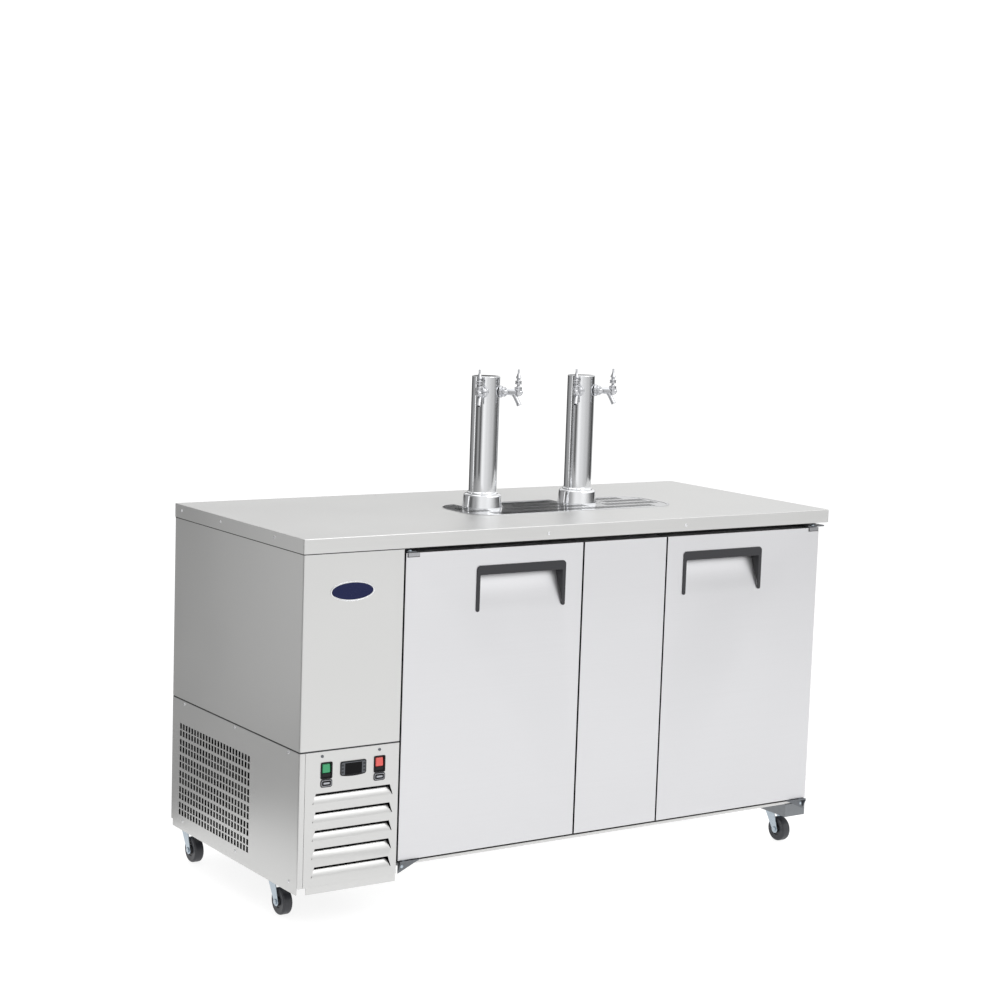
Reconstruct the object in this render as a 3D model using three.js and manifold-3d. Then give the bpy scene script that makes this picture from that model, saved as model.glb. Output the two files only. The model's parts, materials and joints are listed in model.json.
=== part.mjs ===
// Two-door draft beer cooler: counter with two tap towers, keg cabinet and machine bay.
// Millimetres. The origin is on the floor under the middle of the counter.
// +X runs to the right, +Y to the back and +Z up. The doors face -Y.
import * as THREE from 'three';
import { mergeVertices } from 'three/addons/utils/BufferGeometryUtils.js';
import Module from 'manifold-3d';

const wasm = await Module();
wasm.setup();

// Shared sizes
const seat = 0.3;
const overrun = 5;
const sheet = 1.5;

// The whole cooler, and the counter that roofs it
const cooler = { width: 1750, depth: 750, height: 1010 };
const counter = {
  thickness: 32,
  leftLip: 2,
  rightLip: 28,
  frontLip: 2,
  backLip: 2,
  cornerRadius: 4,
  cornerSteps: 2,
  lineHole: 25,
  holeSides: 12,
};

// Machine bay on the left, with its upper and lower skins
const bay = {
  width: 292,
  bottom: 113,
  seam: 467,
  seamGap: 4,
  bend: 5,
  bendSteps: 3,
  flange: 14,
  cornerReturn: 16,
  panelGap: 1,
};
const grille = {
  columns: 24,
  pairs: 6,
  slotWidth: 9.5,
  slotHeight: 16,
  rowGap: 4,
  columnPitch: 18,
  pairPitch: 45,
  fromFront: 273,
  fromSeam: 70,
};
const louver = {
  count: 5,
  topWidth: 218,
  bottomWidth: 236,
  height: 27,
  pitch: 48,
  fromLeft: 40,
  fromSeam: 112,
  throatDepth: 13,
  sideGap: 1.5,
  lipGap: 9,
};
const backVent = { columns: 2, rows: 6, slotWidth: 96, slotHeight: 7, pitch: 24, inset: 36, fromBottom: 60 };
const gland = { radius: 9, fromRight: 40, fromBottom: 22 };

// Controls on the lower front panel
const rocker = { width: 24, height: 35, proud: 2.6, depth: 9, kneeShare: 0.25, pivotDepth: 4.5, gap: 0.8 };
const bezel = {
  width: 34,
  height: 44,
  lip: 2.4,
  bodyDepth: 22,
  bodyMargin: 2,
  cornerRadius: 3,
  cornerSteps: 2,
};
const switchPlace = { powerFromLeft: 78, lightFromLeft: 234, belowSeam: 32 };
const controller = {
  width: 84,
  height: 40,
  bow: 4,
  lip: 3,
  bodyWidth: 72,
  bodyHeight: 31,
  bodyDepth: 40,
  fromLeft: 156,
  belowSeam: 36,
  screenWidth: 48,
  screenHeight: 28,
  screenDepth: 1.6,
  screenClearance: 0.3,
  bowSteps: 6,
};

// Insulated keg cabinet
const cabinet = {
  wall: 50,
  floor: 60,
  bottom: 131,
  frameDepth: 20,
  lipHeight: 8,
  lipSetback: 6,
  openingMargin: 38,
  openingTopMargin: 45,
  openingBottomMargin: 52,
  doorGap: 5,
  bayGap: 6,
  frameRecess: 53,
};
const centrePanel = { width: 282 };
const door = {
  height: 813,
  bottom: 145,
  thickness: 45,
  faceSetback: 1,
  edgeRadius: 4,
  edgeSteps: 2,
  pivotInset: 16,
  pivotDepth: 12,
};
const gasket = { inset: 14, width: 18 };
const handle = {
  width: 287,
  height: 123,
  bar: 25,
  leg: 11,
  cornerRadius: 11,
  cornerSteps: 4,
  fromOpeningEdge: 57,
  belowDoorTop: 45,
  proud: 2,
  plate: 4,
  pocketDepth: 31,
  cheek: 3,
  clearance: 0.4,
  barReturn: 14,
};
const hinge = {
  plate: 3,
  pinRadius: 4,
  pinLength: 14,
  pinClearance: 0.4,
  pinSides: 10,
  topWidth: 36,
  bottomWidth: 66,
  bottomDrop: 30,
  frontMargin: 3,
  doorGap: 1.7,
  kneeRise: 12,
};

// Stop block at the outer end of the right door's upper bracket, under the counter's overhang
const stopBlock = {
  reach: 32,
  depth: 22,
  gap: 8,
  width: 16,
  drop: 16,
  knobRadius: 5,
  knobHeight: 12,
  knobInset: 6,
};

// Drip tray and its grate, let into the counter
const tray = {
  left: 665,
  width: 695,
  front: 230,
  depth: 220,
  cornerRadius: 70,
  cornerSteps: 3,
  rimWidth: 7,
  rimThickness: 1.5,
  wall: 1.5,
  sink: 24,
  ledge: 5,
  wellClearance: 0.8,
};
const grate = {
  thickness: 3,
  clearance: 1,
  top: 1.2,
  rows: 2,
  slotWidth: 13,
  slotLength: 70,
  pitch: 26,
  rowPitch: 88,
  margin: 16,
};

// Beer towers and their taps
const tower = {
  firstX: 790,
  spacing: 332,
  fromFront: 400,
  height: 372,
  radius: 40,
  wall: 2,
  edge: 3,
  flangeRadius: 57.5,
  flangeHeight: 38,
  flangeEdge: 3,
  neckRadius: 45,
  neckHeight: 6,
  sides: 20,
  notchClearance: 2,
};
const tap = {
  belowTop: 43,
  angle: 45,
  shankRadius: 10,
  shankInside: 12,
  holeClearance: 1,
  collarRadius: 17,
  collarLength: 11,
  collarFlatShare: 0.7,
  nutRadius: 14,
  nutLength: 16,
  taperShare: 0.4,
  bodyRadius: 8.5,
  leverReach: 93,
  noseReach: 106,
  cupRadius: 10,
  cupTop: 15,
  cupBottom: 9,
  spoutRadius: 6.2,
  spoutBore: 4,
  spoutReach: 79,
  spoutDrop: 37,
  spoutLean: 27,
  sides: 10,
};
const lever = {
  ball: 5.8,
  ballSteps: 4,
  ballClearance: 0.5,
  neck: 3.6,
  collarStart: 8,
  collarLength: 10,
  collarRadius: 9.5,
  waist: 5,
  waistLength: 6,
  flare: 8,
  flareLength: 3,
  coneLength: 12,
  stem: 3.3,
  top: 50,
  sides: 8,
};

// Base and casters
const base = {
  bottom: 92,
  wall: 2.5,
  inset: 3,
  padLength: 110,
  padWidth: 78,
  channelWidth: 76,
  cornerNotch: 24,
};
const caster = {
  wheelRadius: 36,
  wheelWidth: 28,
  treadEdge: 5,
  hubRadius: 17,
  hubRecess: 4,
  bore: 5,
  axleClearance: 0.4,
  axleMargin: 4,
  trail: 25,
  leftInset: 38,
  rightInset: 38,
  leftFrontY: 175,
  rightFrontY: 100,
  backInset: 50,
  crownRadius: 25,
  bridgeShare: 0.8,
  crown: 8,
  raceRadius: 20,
  raceHeight: 3,
  legWidth: 24,
  legTipShare: 0.25,
  legThickness: 2.5,
  legGap: 2.5,
  sides: 16,
  crownSides: 10,
};

// Refrigeration parts
const evaporatorBox = { wall: 35 };
const coil = { fins: 10, finShare: 0.5, finDepthShare: 0.7 };
const condenser = { width: 230, height: 250, depth: 60, behindPanel: 45 };
const evaporator = { width: 300, height: 300, depth: 70, fromBulkhead: 110 };
const fan = {
  radius: 95,
  hub: 24,
  hubLength: 26,
  blades: 5,
  bladeThickness: 1.6,
  bladeRoot: 26,
  bladeTip: 62,
  bladeEndShare: 0.25,
  pitch: 28,
  shroudGap: 6,
  shroudDepth: 32,
  plate: 2,
  motorRadius: 28,
  motorLength: 42,
  motorGap: 3,
  strut: 8,
  shaftRadius: 4,
  shoulderShare: 0.8,
  sides: 12,
};
const compressor = {
  radius: 75,
  height: 165,
  dome: 40,
  domeSteps: 3,
  foot: 4,
  footSize: 170,
  footGap: 12,
  fromBack: 200,
  sides: 14,
};
const supply = { fromTop: 190 };
const returnAir = { width: 380, height: 110, fromSeam: 20 };

// Places worked out from the sizes above
const left = -cooler.width / 2;
const right = cooler.width / 2;
const front = -cooler.depth / 2;
const back = cooler.depth / 2;
const top = cooler.height - counter.thickness;
const bodyLeft = left + counter.leftLip;
const bodyRight = right - counter.rightLip;
const bodyFront = front + counter.frontLip;
const bodyBack = back - counter.backLip;
const bodyTop = top - seat;
const bayRight = bodyLeft + bay.width;
const cabinetLeft = bayRight + bay.panelGap;
const doorLeft = bayRight + cabinet.bayGap;
const doorFace = bodyFront + door.faceSetback;
const frameFace = bodyFront + cabinet.frameRecess;
const frameBack = frameFace + cabinet.frameDepth;
const doorTop = door.bottom + door.height;
const doorBack = doorFace + door.thickness;
const pivotY = doorFace + door.pivotDepth;
const lipTop = cabinet.bottom + cabinet.lipHeight;
const towerY = front + tower.fromFront;
const trayLeft = left + tray.left;
const trayFront = front + tray.front;
const towerXs = [left + tower.firstX, left + tower.firstX + tower.spacing];
const doorRight = bodyRight - cabinet.bayGap;
const pads = towerXs.map((x) => ({ x, y: towerY }));
const doorWidth = (doorRight - doorLeft - centrePanel.width) / 2 - cabinet.doorGap;
const switchZ = bay.seam - switchPlace.belowSeam - bezel.height / 2;
const controllerX = bodyLeft + controller.fromLeft;
const controllerZ = bay.seam - controller.belowSeam - controller.height / 2;
const quarterTurn = Math.PI / 2;
const fullTurn = 2 * Math.PI;

// Materials
const stainless = new THREE.MeshStandardMaterial({ color: 0xdcdddf, roughness: 0.35, metalness: 0.9 });
const polished = new THREE.MeshStandardMaterial({ color: 0xe8e9ea, roughness: 0.12, metalness: 1 });
const doorSteel = new THREE.MeshStandardMaterial({ color: 0xe4e4e6, roughness: 0.45, metalness: 0.6 });
const blackPlastic = new THREE.MeshStandardMaterial({ color: 0x2b2b2d, roughness: 0.5, metalness: 0 });
const greenPlastic = new THREE.MeshStandardMaterial({ color: 0x1d8a4e, roughness: 0.3, metalness: 0 });
const redPlastic = new THREE.MeshStandardMaterial({ color: 0xc8322b, roughness: 0.3, metalness: 0 });
const screenGlass = new THREE.MeshStandardMaterial({ color: 0x1b1c20, roughness: 0.1, metalness: 0 });
const zinc = new THREE.MeshStandardMaterial({ color: 0xb9c4cc, roughness: 0.4, metalness: 0.9 });
const wheelRubber = new THREE.MeshStandardMaterial({ color: 0x34353a, roughness: 0.7, metalness: 0 });
const sealRubber = new THREE.MeshStandardMaterial({ color: 0x3a3a3c, roughness: 0.8, metalness: 0 });
const liner = new THREE.MeshStandardMaterial({ color: 0xcfd1d3, roughness: 0.5, metalness: 0.4 });
const galvanised = new THREE.MeshStandardMaterial({ color: 0x9aa0a4, roughness: 0.5, metalness: 0.7 });
const blackEnamel = new THREE.MeshStandardMaterial({ color: 0x1c1d1f, roughness: 0.35, metalness: 0.2 });
const finAluminium = new THREE.MeshStandardMaterial({ color: 0xb5b8ba, roughness: 0.4, metalness: 0.8 });

const cooledCounter = new THREE.Group();

// Doors, each hinged on the side away from the centre panel
const doors = [
  { name: 'left', x0: doorLeft, hingeSide: -1 },
  { name: 'right', x0: doorRight - doorWidth, hingeSide: 1 },
];
const switches = [
  { name: 'power', x: bodyLeft + switchPlace.powerFromLeft, material: greenPlastic },
  { name: 'light', x: bodyLeft + switchPlace.lightFromLeft, material: redPlastic },
];
const leftCasters = [
  { name: 'front_left', x: bodyLeft + caster.leftInset, y: front + caster.leftFrontY },
  { name: 'back_left', x: bodyLeft + caster.leftInset, y: back - caster.backInset },
];
const rightCasters = [
  { name: 'front_right', x: bodyRight - caster.rightInset, y: front + caster.rightFrontY },
  { name: 'back_right', x: bodyRight - caster.rightInset, y: back - caster.backInset },
];

// Solids from geometry, and back again
function solid(geometry) {
  const bare = geometry.clone();
  bare.deleteAttribute('normal');
  bare.deleteAttribute('uv');
  const merged = mergeVertices(bare);
  const triVerts = Uint32Array.from(merged.index.array);
  const vertProperties = Float32Array.from(merged.attributes.position.array);
  return new wasm.Manifold(new wasm.Mesh({ numProp: 3, vertProperties, triVerts }));
}

function geometryOf(body) {
  const cut = body.getMesh();
  const geometry = new THREE.BufferGeometry();
  geometry.setAttribute('position', new THREE.BufferAttribute(cut.vertProperties, 3));
  geometry.setIndex(new THREE.BufferAttribute(cut.triVerts, 1));
  return geometry;
}

function joinAll(solids) {
  return solids.reduce((whole, piece) => whole.add(piece));
}

function cutAll(body, tools) {
  return tools.reduce((rest, tool) => rest.subtract(tool), body);
}

function addPiece(name, body, material) {
  const geometry = geometryOf(body);
  geometry.computeVertexNormals();
  const mesh = new THREE.Mesh(geometry, material);
  mesh.name = name;
  cooledCounter.add(mesh);
  return mesh;
}

// Primitive forms, each placed by its own low and high corners or its axis
function block(x0, x1, y0, y1, z0, z1) {
  const geometry = new THREE.BoxGeometry(x1 - x0, y1 - y0, z1 - z0);
  geometry.translate((x0 + x1) / 2, (y0 + y1) / 2, (z0 + z1) / 2);
  return solid(geometry);
}

function outline(points) {
  return new THREE.Shape(points.map(([u, v]) => new THREE.Vector2(u, v)));
}

function extrude(shape, depth, curveSegments) {
  return new THREE.ExtrudeGeometry(shape, { depth, bevelEnabled: false, curveSegments });
}

function extrudeX(shape, x0, x1, steps = 1) {
  const geometry = extrude(shape, x1 - x0, steps);
  const turn = new THREE.Matrix4().makeBasis(
    new THREE.Vector3(0, 1, 0),
    new THREE.Vector3(0, 0, 1),
    new THREE.Vector3(1, 0, 0),
  );
  geometry.applyMatrix4(turn);
  geometry.translate(x0, 0, 0);
  return solid(geometry);
}

function extrudeY(shape, y0, y1, steps = 1) {
  const geometry = extrude(shape, y1 - y0, steps);
  const turn = new THREE.Matrix4().makeBasis(
    new THREE.Vector3(1, 0, 0),
    new THREE.Vector3(0, 0, 1),
    new THREE.Vector3(0, -1, 0),
  );
  geometry.applyMatrix4(turn);
  geometry.translate(0, y1, 0);
  return solid(geometry);
}

function extrudeZ(shape, z0, z1, steps = 1) {
  const geometry = extrude(shape, z1 - z0, steps);
  geometry.translate(0, 0, z0);
  return solid(geometry);
}

function roundedRect(u0, u1, v0, v1, radius) {
  const shape = new THREE.Shape();
  shape.moveTo(u0 + radius, v0);
  shape.lineTo(u1 - radius, v0);
  shape.absarc(u1 - radius, v0 + radius, radius, -quarterTurn, 0);
  shape.lineTo(u1, v1 - radius);
  shape.absarc(u1 - radius, v1 - radius, radius, 0, quarterTurn);
  shape.lineTo(u0 + radius, v1);
  shape.absarc(u0 + radius, v1 - radius, radius, quarterTurn, Math.PI);
  shape.lineTo(u0, v0 + radius);
  shape.absarc(u0 + radius, v0 + radius, radius, Math.PI, Math.PI + quarterTurn);
  return shape;
}

// A profile of [radius, height] points turned round the vertical axis
function turned(points, sides) {
  const geometry = new THREE.LatheGeometry(points.map(([r, z]) => new THREE.Vector2(r, z)), sides);
  geometry.rotateX(quarterTurn);
  return geometry;
}

function cylinder(radius, z0, z1, sides) {
  return turned([[0, z0], [radius, z0], [radius, z1], [0, z1]], sides);
}

function placed(geometry, x, y, z) {
  return solid(geometry.clone().translate(x, y, z));
}

// Plan of the tray: a round-cornered plate with a bay open to the back round each tower
function trayPlate(inset, z0, z1) {
  const plate = extrudeZ(
    roundedRect(
      trayLeft + inset,
      trayLeft + tray.width - inset,
      trayFront + inset,
      trayFront + tray.depth - inset,
      tray.cornerRadius - inset,
    ),
    z0,
    z1,
    tray.cornerSteps,
  );
  const notchRadius = tower.flangeRadius + tower.notchClearance + tray.rimWidth + inset;
  const notches = pads.map(({ x, y }) => {
    const round = placed(cylinder(notchRadius, z0 - overrun, z1 + overrun, tower.sides), x, y, 0);
    const mouth = block(
      x - notchRadius,
      x + notchRadius,
      y,
      trayFront + tray.depth + tray.rimWidth + overrun,
      z0 - overrun,
      z1 + overrun,
    );
    return round.add(mouth);
  });
  return cutAll(plate, notches);
}

// Counter
function buildCounter() {
  const slab = extrudeZ(
    roundedRect(left, right, front, back, counter.cornerRadius),
    top,
    cooler.height,
    counter.cornerSteps,
  );
  const wellBottom = cooler.height - tray.sink - tray.wellClearance;
  const well = trayPlate(-tray.wellClearance, wellBottom, cooler.height + overrun);
  const holes = pads.map(({ x, y }) => (
    placed(cylinder(counter.lineHole, top - overrun, cooler.height + overrun, counter.holeSides), x, y, 0)
  ));
  addPiece('counter_top', cutAll(slab, [well, ...holes]), stainless);
}

// Drip tray
function buildTray() {
  const rimBottom = cooler.height + seat;
  const rim = trayPlate(-tray.rimWidth, rimBottom, rimBottom + tray.rimThickness);
  const shell = trayPlate(0, cooler.height - tray.sink, rimBottom + tray.rimThickness);
  const grateBottom = cooler.height + grate.top - grate.thickness;
  const mouth = trayPlate(tray.wall, grateBottom - seat, rimBottom + tray.rimThickness + overrun);
  const basinFloor = cooler.height - tray.sink + tray.wall;
  const hollow = trayPlate(tray.wall + tray.ledge, basinFloor, grateBottom + overrun);
  addPiece('drip_tray', cutAll(rim.add(shell), [mouth, hollow]), stainless);

  const inset = tray.wall + grate.clearance;
  const plate = trayPlate(inset, grateBottom, cooler.height + grate.top);
  const slots = [];
  const middleX = trayLeft + tray.width / 2;
  const middleY = trayFront + tray.depth / 2;
  const columns = Math.floor((tray.width / 2 - inset - grate.margin) / grate.pitch);
  const keepOff = tower.flangeRadius + tower.notchClearance + tray.rimWidth + inset + grate.slotWidth;
  for (let row = 0; row < grate.rows; row += 1) {
    const y = middleY + (row - (grate.rows - 1) / 2) * grate.rowPitch;
    for (let column = -columns; column <= columns; column += 1) {
      const x = middleX + column * grate.pitch;
      const slotBack = y + grate.slotLength / 2;
      const nearPad = pads.some((pad) => (
        Math.hypot(x - pad.x, Math.max(pad.y - slotBack, 0)) < keepOff
      ));
      const nearEnd = Math.abs(x - middleX) > tray.width / 2 - tray.cornerRadius;
      if (!nearPad && !nearEnd) {
        slots.push(block(
          x - grate.slotWidth / 2,
          x + grate.slotWidth / 2,
          y - grate.slotLength / 2,
          y + grate.slotLength / 2,
          grateBottom - overrun,
          cooler.height + grate.top + overrun,
        ));
      }
    }
  }
  addPiece('tray_grate', cutAll(plate, slots), stainless);
}

// Insulated cabinet panels round one long keg space
function buildCabinet() {
  const insideLeft = cabinetLeft + cabinet.wall;
  const insideRight = bodyRight - cabinet.wall;
  const insideBack = bodyBack - cabinet.wall;
  const insideTop = bodyTop - cabinet.wall;
  const floorTop = cabinet.bottom + cabinet.floor;
  const wallFront = frameBack + seat;

  const slab = block(cabinetLeft, bodyRight, wallFront, bodyBack, cabinet.bottom, floorTop);
  const lipFront = doorFace + cabinet.lipSetback;
  const lip = block(doorLeft, bodyRight, lipFront, wallFront + overrun, cabinet.bottom, lipTop);
  addPiece('cabinet_floor', slab.add(lip), stainless);

  const holes = pads.map(({ x, y }) => (
    placed(cylinder(counter.lineHole, insideTop - overrun, bodyTop + overrun, counter.holeSides), x, y, 0)
  ));
  const ceiling = block(
    insideLeft + seat,
    insideRight - seat,
    wallFront,
    insideBack - seat,
    insideTop,
    bodyTop,
  );
  addPiece('cabinet_ceiling', cutAll(ceiling, holes), liner);
  addPiece(
    'cabinet_back',
    block(insideLeft + seat, insideRight - seat, insideBack, bodyBack, floorTop + seat, bodyTop),
    stainless,
  );
  addPiece(
    'cabinet_right_wall',
    block(insideRight, bodyRight, wallFront, bodyBack, floorTop + seat, bodyTop),
    stainless,
  );

  const wall = block(cabinetLeft, insideLeft, wallFront, bodyBack, floorTop + seat, bodyTop);
  const fanY = (wallFront + insideBack) / 2;
  const fanZ = bodyTop - supply.fromTop;
  const throat = fan.radius + fan.shroudGap;
  const round = turnedAlongX(cylinder(throat, cabinetLeft - overrun, insideLeft + overrun, fan.sides));
  const grilleLow = bay.seam + evaporatorBox.wall + returnAir.fromSeam;
  const returnHole = block(
    cabinetLeft - overrun,
    insideLeft + overrun,
    fanY - returnAir.width / 2,
    fanY + returnAir.width / 2,
    grilleLow,
    grilleLow + returnAir.height,
  );
  addPiece('bulkhead', cutAll(wall, [placed(round, 0, fanY, fanZ), returnHole]), liner);

  const frameLow = lipTop + seat;
  const face = block(cabinetLeft, bodyRight, frameFace, frameBack, frameLow, bodyTop);
  const openings = doors.map(({ x0 }) => block(
    x0 + cabinet.openingMargin,
    x0 + doorWidth - cabinet.openingMargin,
    frameFace - overrun,
    frameBack + overrun,
    door.bottom + cabinet.openingBottomMargin,
    doorTop - cabinet.openingTopMargin,
  ));
  addPiece('door_frame', cutAll(face, openings), blackEnamel);

  addPiece(
    'centre_panel',
    block(
      doors[0].x0 + doorWidth + cabinet.doorGap,
      doors[1].x0 - cabinet.doorGap,
      doorFace,
      frameFace - seat,
      door.bottom,
      doorTop,
    ),
    doorSteel,
  );
}

// The axis of a turned form laid along X or Y
function turnedAlongX(geometry) {
  return geometry.rotateY(quarterTurn);
}

function turnedAlongY(geometry) {
  return geometry.rotateX(-quarterTurn);
}

// Where a door's hinge pins and pull stand
function pivotX(leaf) {
  return leaf.hingeSide < 0 ? leaf.x0 + door.pivotInset : leaf.x0 + doorWidth - door.pivotInset;
}

function handleLeft(leaf) {
  if (leaf.hingeSide < 0) return leaf.x0 + doorWidth - handle.fromOpeningEdge - handle.width;
  return leaf.x0 + handle.fromOpeningEdge;
}

// The pull's recess seen from the side: level roof, flat back, and a ramp out to the face
function recessOutline(margin) {
  const roof = doorTop - handle.belowDoorTop - handle.plate + margin;
  const foot = doorTop - handle.belowDoorTop - handle.height - margin;
  const deep = doorFace + handle.pocketDepth + margin;
  return outline([
    [doorFace - overrun, foot],
    [doorFace, foot],
    [deep, roof - handle.bar],
    [deep, roof],
    [doorFace - overrun, roof],
  ]);
}

function buildDoor(leaf) {
  const x1 = leaf.x0 + doorWidth;
  const slab = extrudeZ(
    roundedRect(leaf.x0, x1, doorFace, doorBack, door.edgeRadius),
    door.bottom,
    doorTop,
    door.edgeSteps,
  );
  const pullLeft = handleLeft(leaf);
  const pullRight = pullLeft + handle.width;
  const pocket = extrudeX(
    recessOutline(0),
    pullLeft + handle.leg - handle.cheek - handle.clearance,
    pullRight - handle.leg + handle.cheek + handle.clearance,
  );
  const pinHoleRadius = hinge.pinRadius + hinge.pinClearance;
  const pinHole = cylinder(pinHoleRadius, 0, hinge.pinLength + overrun, hinge.pinSides);
  const pinX = pivotX(leaf);
  const lowHole = placed(pinHole, pinX, pivotY, door.bottom - overrun);
  const highHole = placed(pinHole, pinX, pivotY, doorTop - hinge.pinLength);
  addPiece(`door_${leaf.name}`, cutAll(slab, [pocket, lowHole, highHole]), doorSteel);

  const sealFront = doorBack + seat;
  const sealBack = frameFace - seat;
  const sealOuter = block(
    leaf.x0 + gasket.inset,
    x1 - gasket.inset,
    sealFront,
    sealBack,
    door.bottom + gasket.inset,
    doorTop - gasket.inset,
  );
  const sealInset = gasket.inset + gasket.width;
  const sealInner = block(
    leaf.x0 + sealInset,
    x1 - sealInset,
    sealFront - overrun,
    sealBack + overrun,
    door.bottom + sealInset,
    doorTop - sealInset,
  );
  addPiece(`door_gasket_${leaf.name}`, sealOuter.subtract(sealInner), sealRubber);
  buildHandle(leaf, pullLeft, pullRight);
}

// Black pull trim: a bar with two legs on the door face, and a cheek down each side of the recess
function buildHandle(leaf, pullLeft, pullRight) {
  const pullTop = doorTop - handle.belowDoorTop;
  const pullFoot = pullTop - handle.height;
  const faceBack = doorFace - seat;
  const outer = extrudeY(
    roundedRect(pullLeft, pullRight, pullFoot - handle.cornerRadius, pullTop, handle.cornerRadius),
    faceBack - handle.proud,
    faceBack,
    handle.cornerSteps,
  );
  const window = block(
    pullLeft + handle.leg,
    pullRight - handle.leg,
    faceBack - handle.proud - overrun,
    faceBack + overrun,
    pullFoot - handle.cornerRadius - overrun,
    pullTop - handle.bar,
  );
  const below = block(
    pullLeft - overrun,
    pullRight + overrun,
    faceBack - handle.proud - overrun,
    faceBack + overrun,
    pullFoot - handle.cornerRadius - overrun,
    pullFoot,
  );
  const trim = cutAll(outer, [window, below]);
  const cheekShape = outline([
    [faceBack - handle.proud / 2, pullFoot + handle.cornerRadius],
    [doorFace + handle.pocketDepth - handle.clearance, pullTop - handle.plate - handle.bar],
    [doorFace + handle.pocketDepth - handle.clearance, pullTop - handle.plate - handle.clearance],
    [faceBack - handle.proud / 2, pullTop - handle.plate - handle.clearance],
  ]);
  const cheekLeft = extrudeX(cheekShape, pullLeft + handle.leg - handle.cheek, pullLeft + handle.leg);
  const cheekRight = extrudeX(cheekShape, pullRight - handle.leg, pullRight - handle.leg + handle.cheek);
  const barLip = block(
    pullLeft + handle.leg - handle.cheek / 2,
    pullRight - handle.leg + handle.cheek / 2,
    faceBack - handle.proud / 2,
    doorFace + handle.barReturn,
    pullTop - handle.bar,
    pullTop - handle.bar + handle.plate,
  );
  addPiece(`door_pull_${leaf.name}`, joinAll([trim, cheekLeft, cheekRight, barLip]), blackPlastic);
}

// Hinge brackets: the pin is part of the bracket and turns in a hole in the door's edge
function buildHinges(leaf) {
  const x = pivotX(leaf);
  const doorEdge = leaf.hingeSide < 0 ? leaf.x0 : leaf.x0 + doorWidth;
  const outerEdge = doorEdge - leaf.hingeSide * hinge.frontMargin;
  const span = (width) => (
    leaf.hingeSide < 0 ? [outerEdge, outerEdge + width] : [outerEdge - width, outerEdge]
  );
  const pinFront = doorFace + hinge.frontMargin;
  const plateBack = frameFace - seat;

  const [topX0, topX1] = span(hinge.topWidth);
  const topZ = doorTop + hinge.doorGap;
  const topPlate = block(topX0, topX1, pinFront, plateBack, topZ, topZ + hinge.plate);
  const topKnee = block(topX0, topX1, plateBack - hinge.plate, plateBack, topZ, topZ + hinge.kneeRise);
  const topPinFoot = doorTop - hinge.pinLength + hinge.doorGap;
  const topPin = cylinder(hinge.pinRadius, topPinFoot, topZ + hinge.plate / 2, hinge.pinSides);
  const upper = [topPlate, topKnee, placed(topPin, x, pivotY, 0)];
  if (leaf.hingeSide > 0) {
    const end = outerEdge + stopBlock.reach;
    const stopX = outerEdge + stopBlock.gap + hinge.frontMargin;
    const depthEnd = pinFront + stopBlock.depth;
    upper.push(block(outerEdge - hinge.plate, end, pinFront, depthEnd, topZ, topZ + hinge.plate));
    const stopFoot = topZ - stopBlock.drop;
    upper.push(block(stopX, stopX + stopBlock.width, pinFront, depthEnd, stopFoot, topZ + hinge.plate / 2));
    const knob = cylinder(stopBlock.knobRadius, topZ, topZ + stopBlock.knobHeight, hinge.pinSides);
    upper.push(placed(knob, end - stopBlock.knobInset, pinFront + stopBlock.depth / 2, 0));
  }
  addPiece(`hinge_top_${leaf.name}`, joinAll(upper), galvanised);

  const [lowX0, lowX1] = span(hinge.bottomWidth);
  const lowZ = door.bottom - hinge.doorGap - hinge.plate;
  const lowPlate = block(lowX0, lowX1, pinFront - hinge.plate, plateBack, lowZ, lowZ + hinge.plate);
  const tipX = leaf.hingeSide < 0 ? lowX1 : lowX0;
  const rootX = leaf.hingeSide < 0 ? lowX0 : lowX1;
  const frontPlate = extrudeY(
    outline([
      [rootX, lowZ + hinge.plate],
      [rootX, lowZ - hinge.bottomDrop],
      [tipX, lowZ],
      [tipX, lowZ + hinge.plate],
    ]),
    pinFront - hinge.plate,
    pinFront - seat,
  );
  const lowPinTop = door.bottom + hinge.pinLength - hinge.doorGap;
  const lowPin = cylinder(hinge.pinRadius, lowZ + hinge.plate / 2, lowPinTop, hinge.pinSides);
  const lower = [lowPlate, frontPlate, placed(lowPin, x, pivotY, 0)];
  addPiece(`hinge_bottom_${leaf.name}`, joinAll(lower), galvanised);
}

// Machine bay skins
function bentSkin(z0, z1, frontEnd, edgeFlange) {
  const r = bay.bend;
  const shape = new THREE.Shape();
  shape.moveTo(bodyLeft, bodyBack);
  shape.lineTo(bodyLeft, bodyFront + r);
  shape.absarc(bodyLeft + r, bodyFront + r, r, Math.PI, Math.PI + quarterTurn);
  shape.lineTo(frontEnd, bodyFront);
  if (edgeFlange > 0) {
    shape.lineTo(frontEnd, bodyFront + edgeFlange);
    shape.lineTo(frontEnd - sheet, bodyFront + edgeFlange);
    shape.lineTo(frontEnd - sheet, bodyFront + sheet);
  } else {
    shape.lineTo(frontEnd, bodyFront + sheet);
  }
  shape.lineTo(bodyLeft + r, bodyFront + sheet);
  shape.absarc(bodyLeft + r, bodyFront + r, r - sheet, Math.PI + quarterTurn, Math.PI, true);
  shape.lineTo(bodyLeft + sheet, bodyBack);
  return extrudeZ(shape, z0, z1, bay.bendSteps);
}

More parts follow.
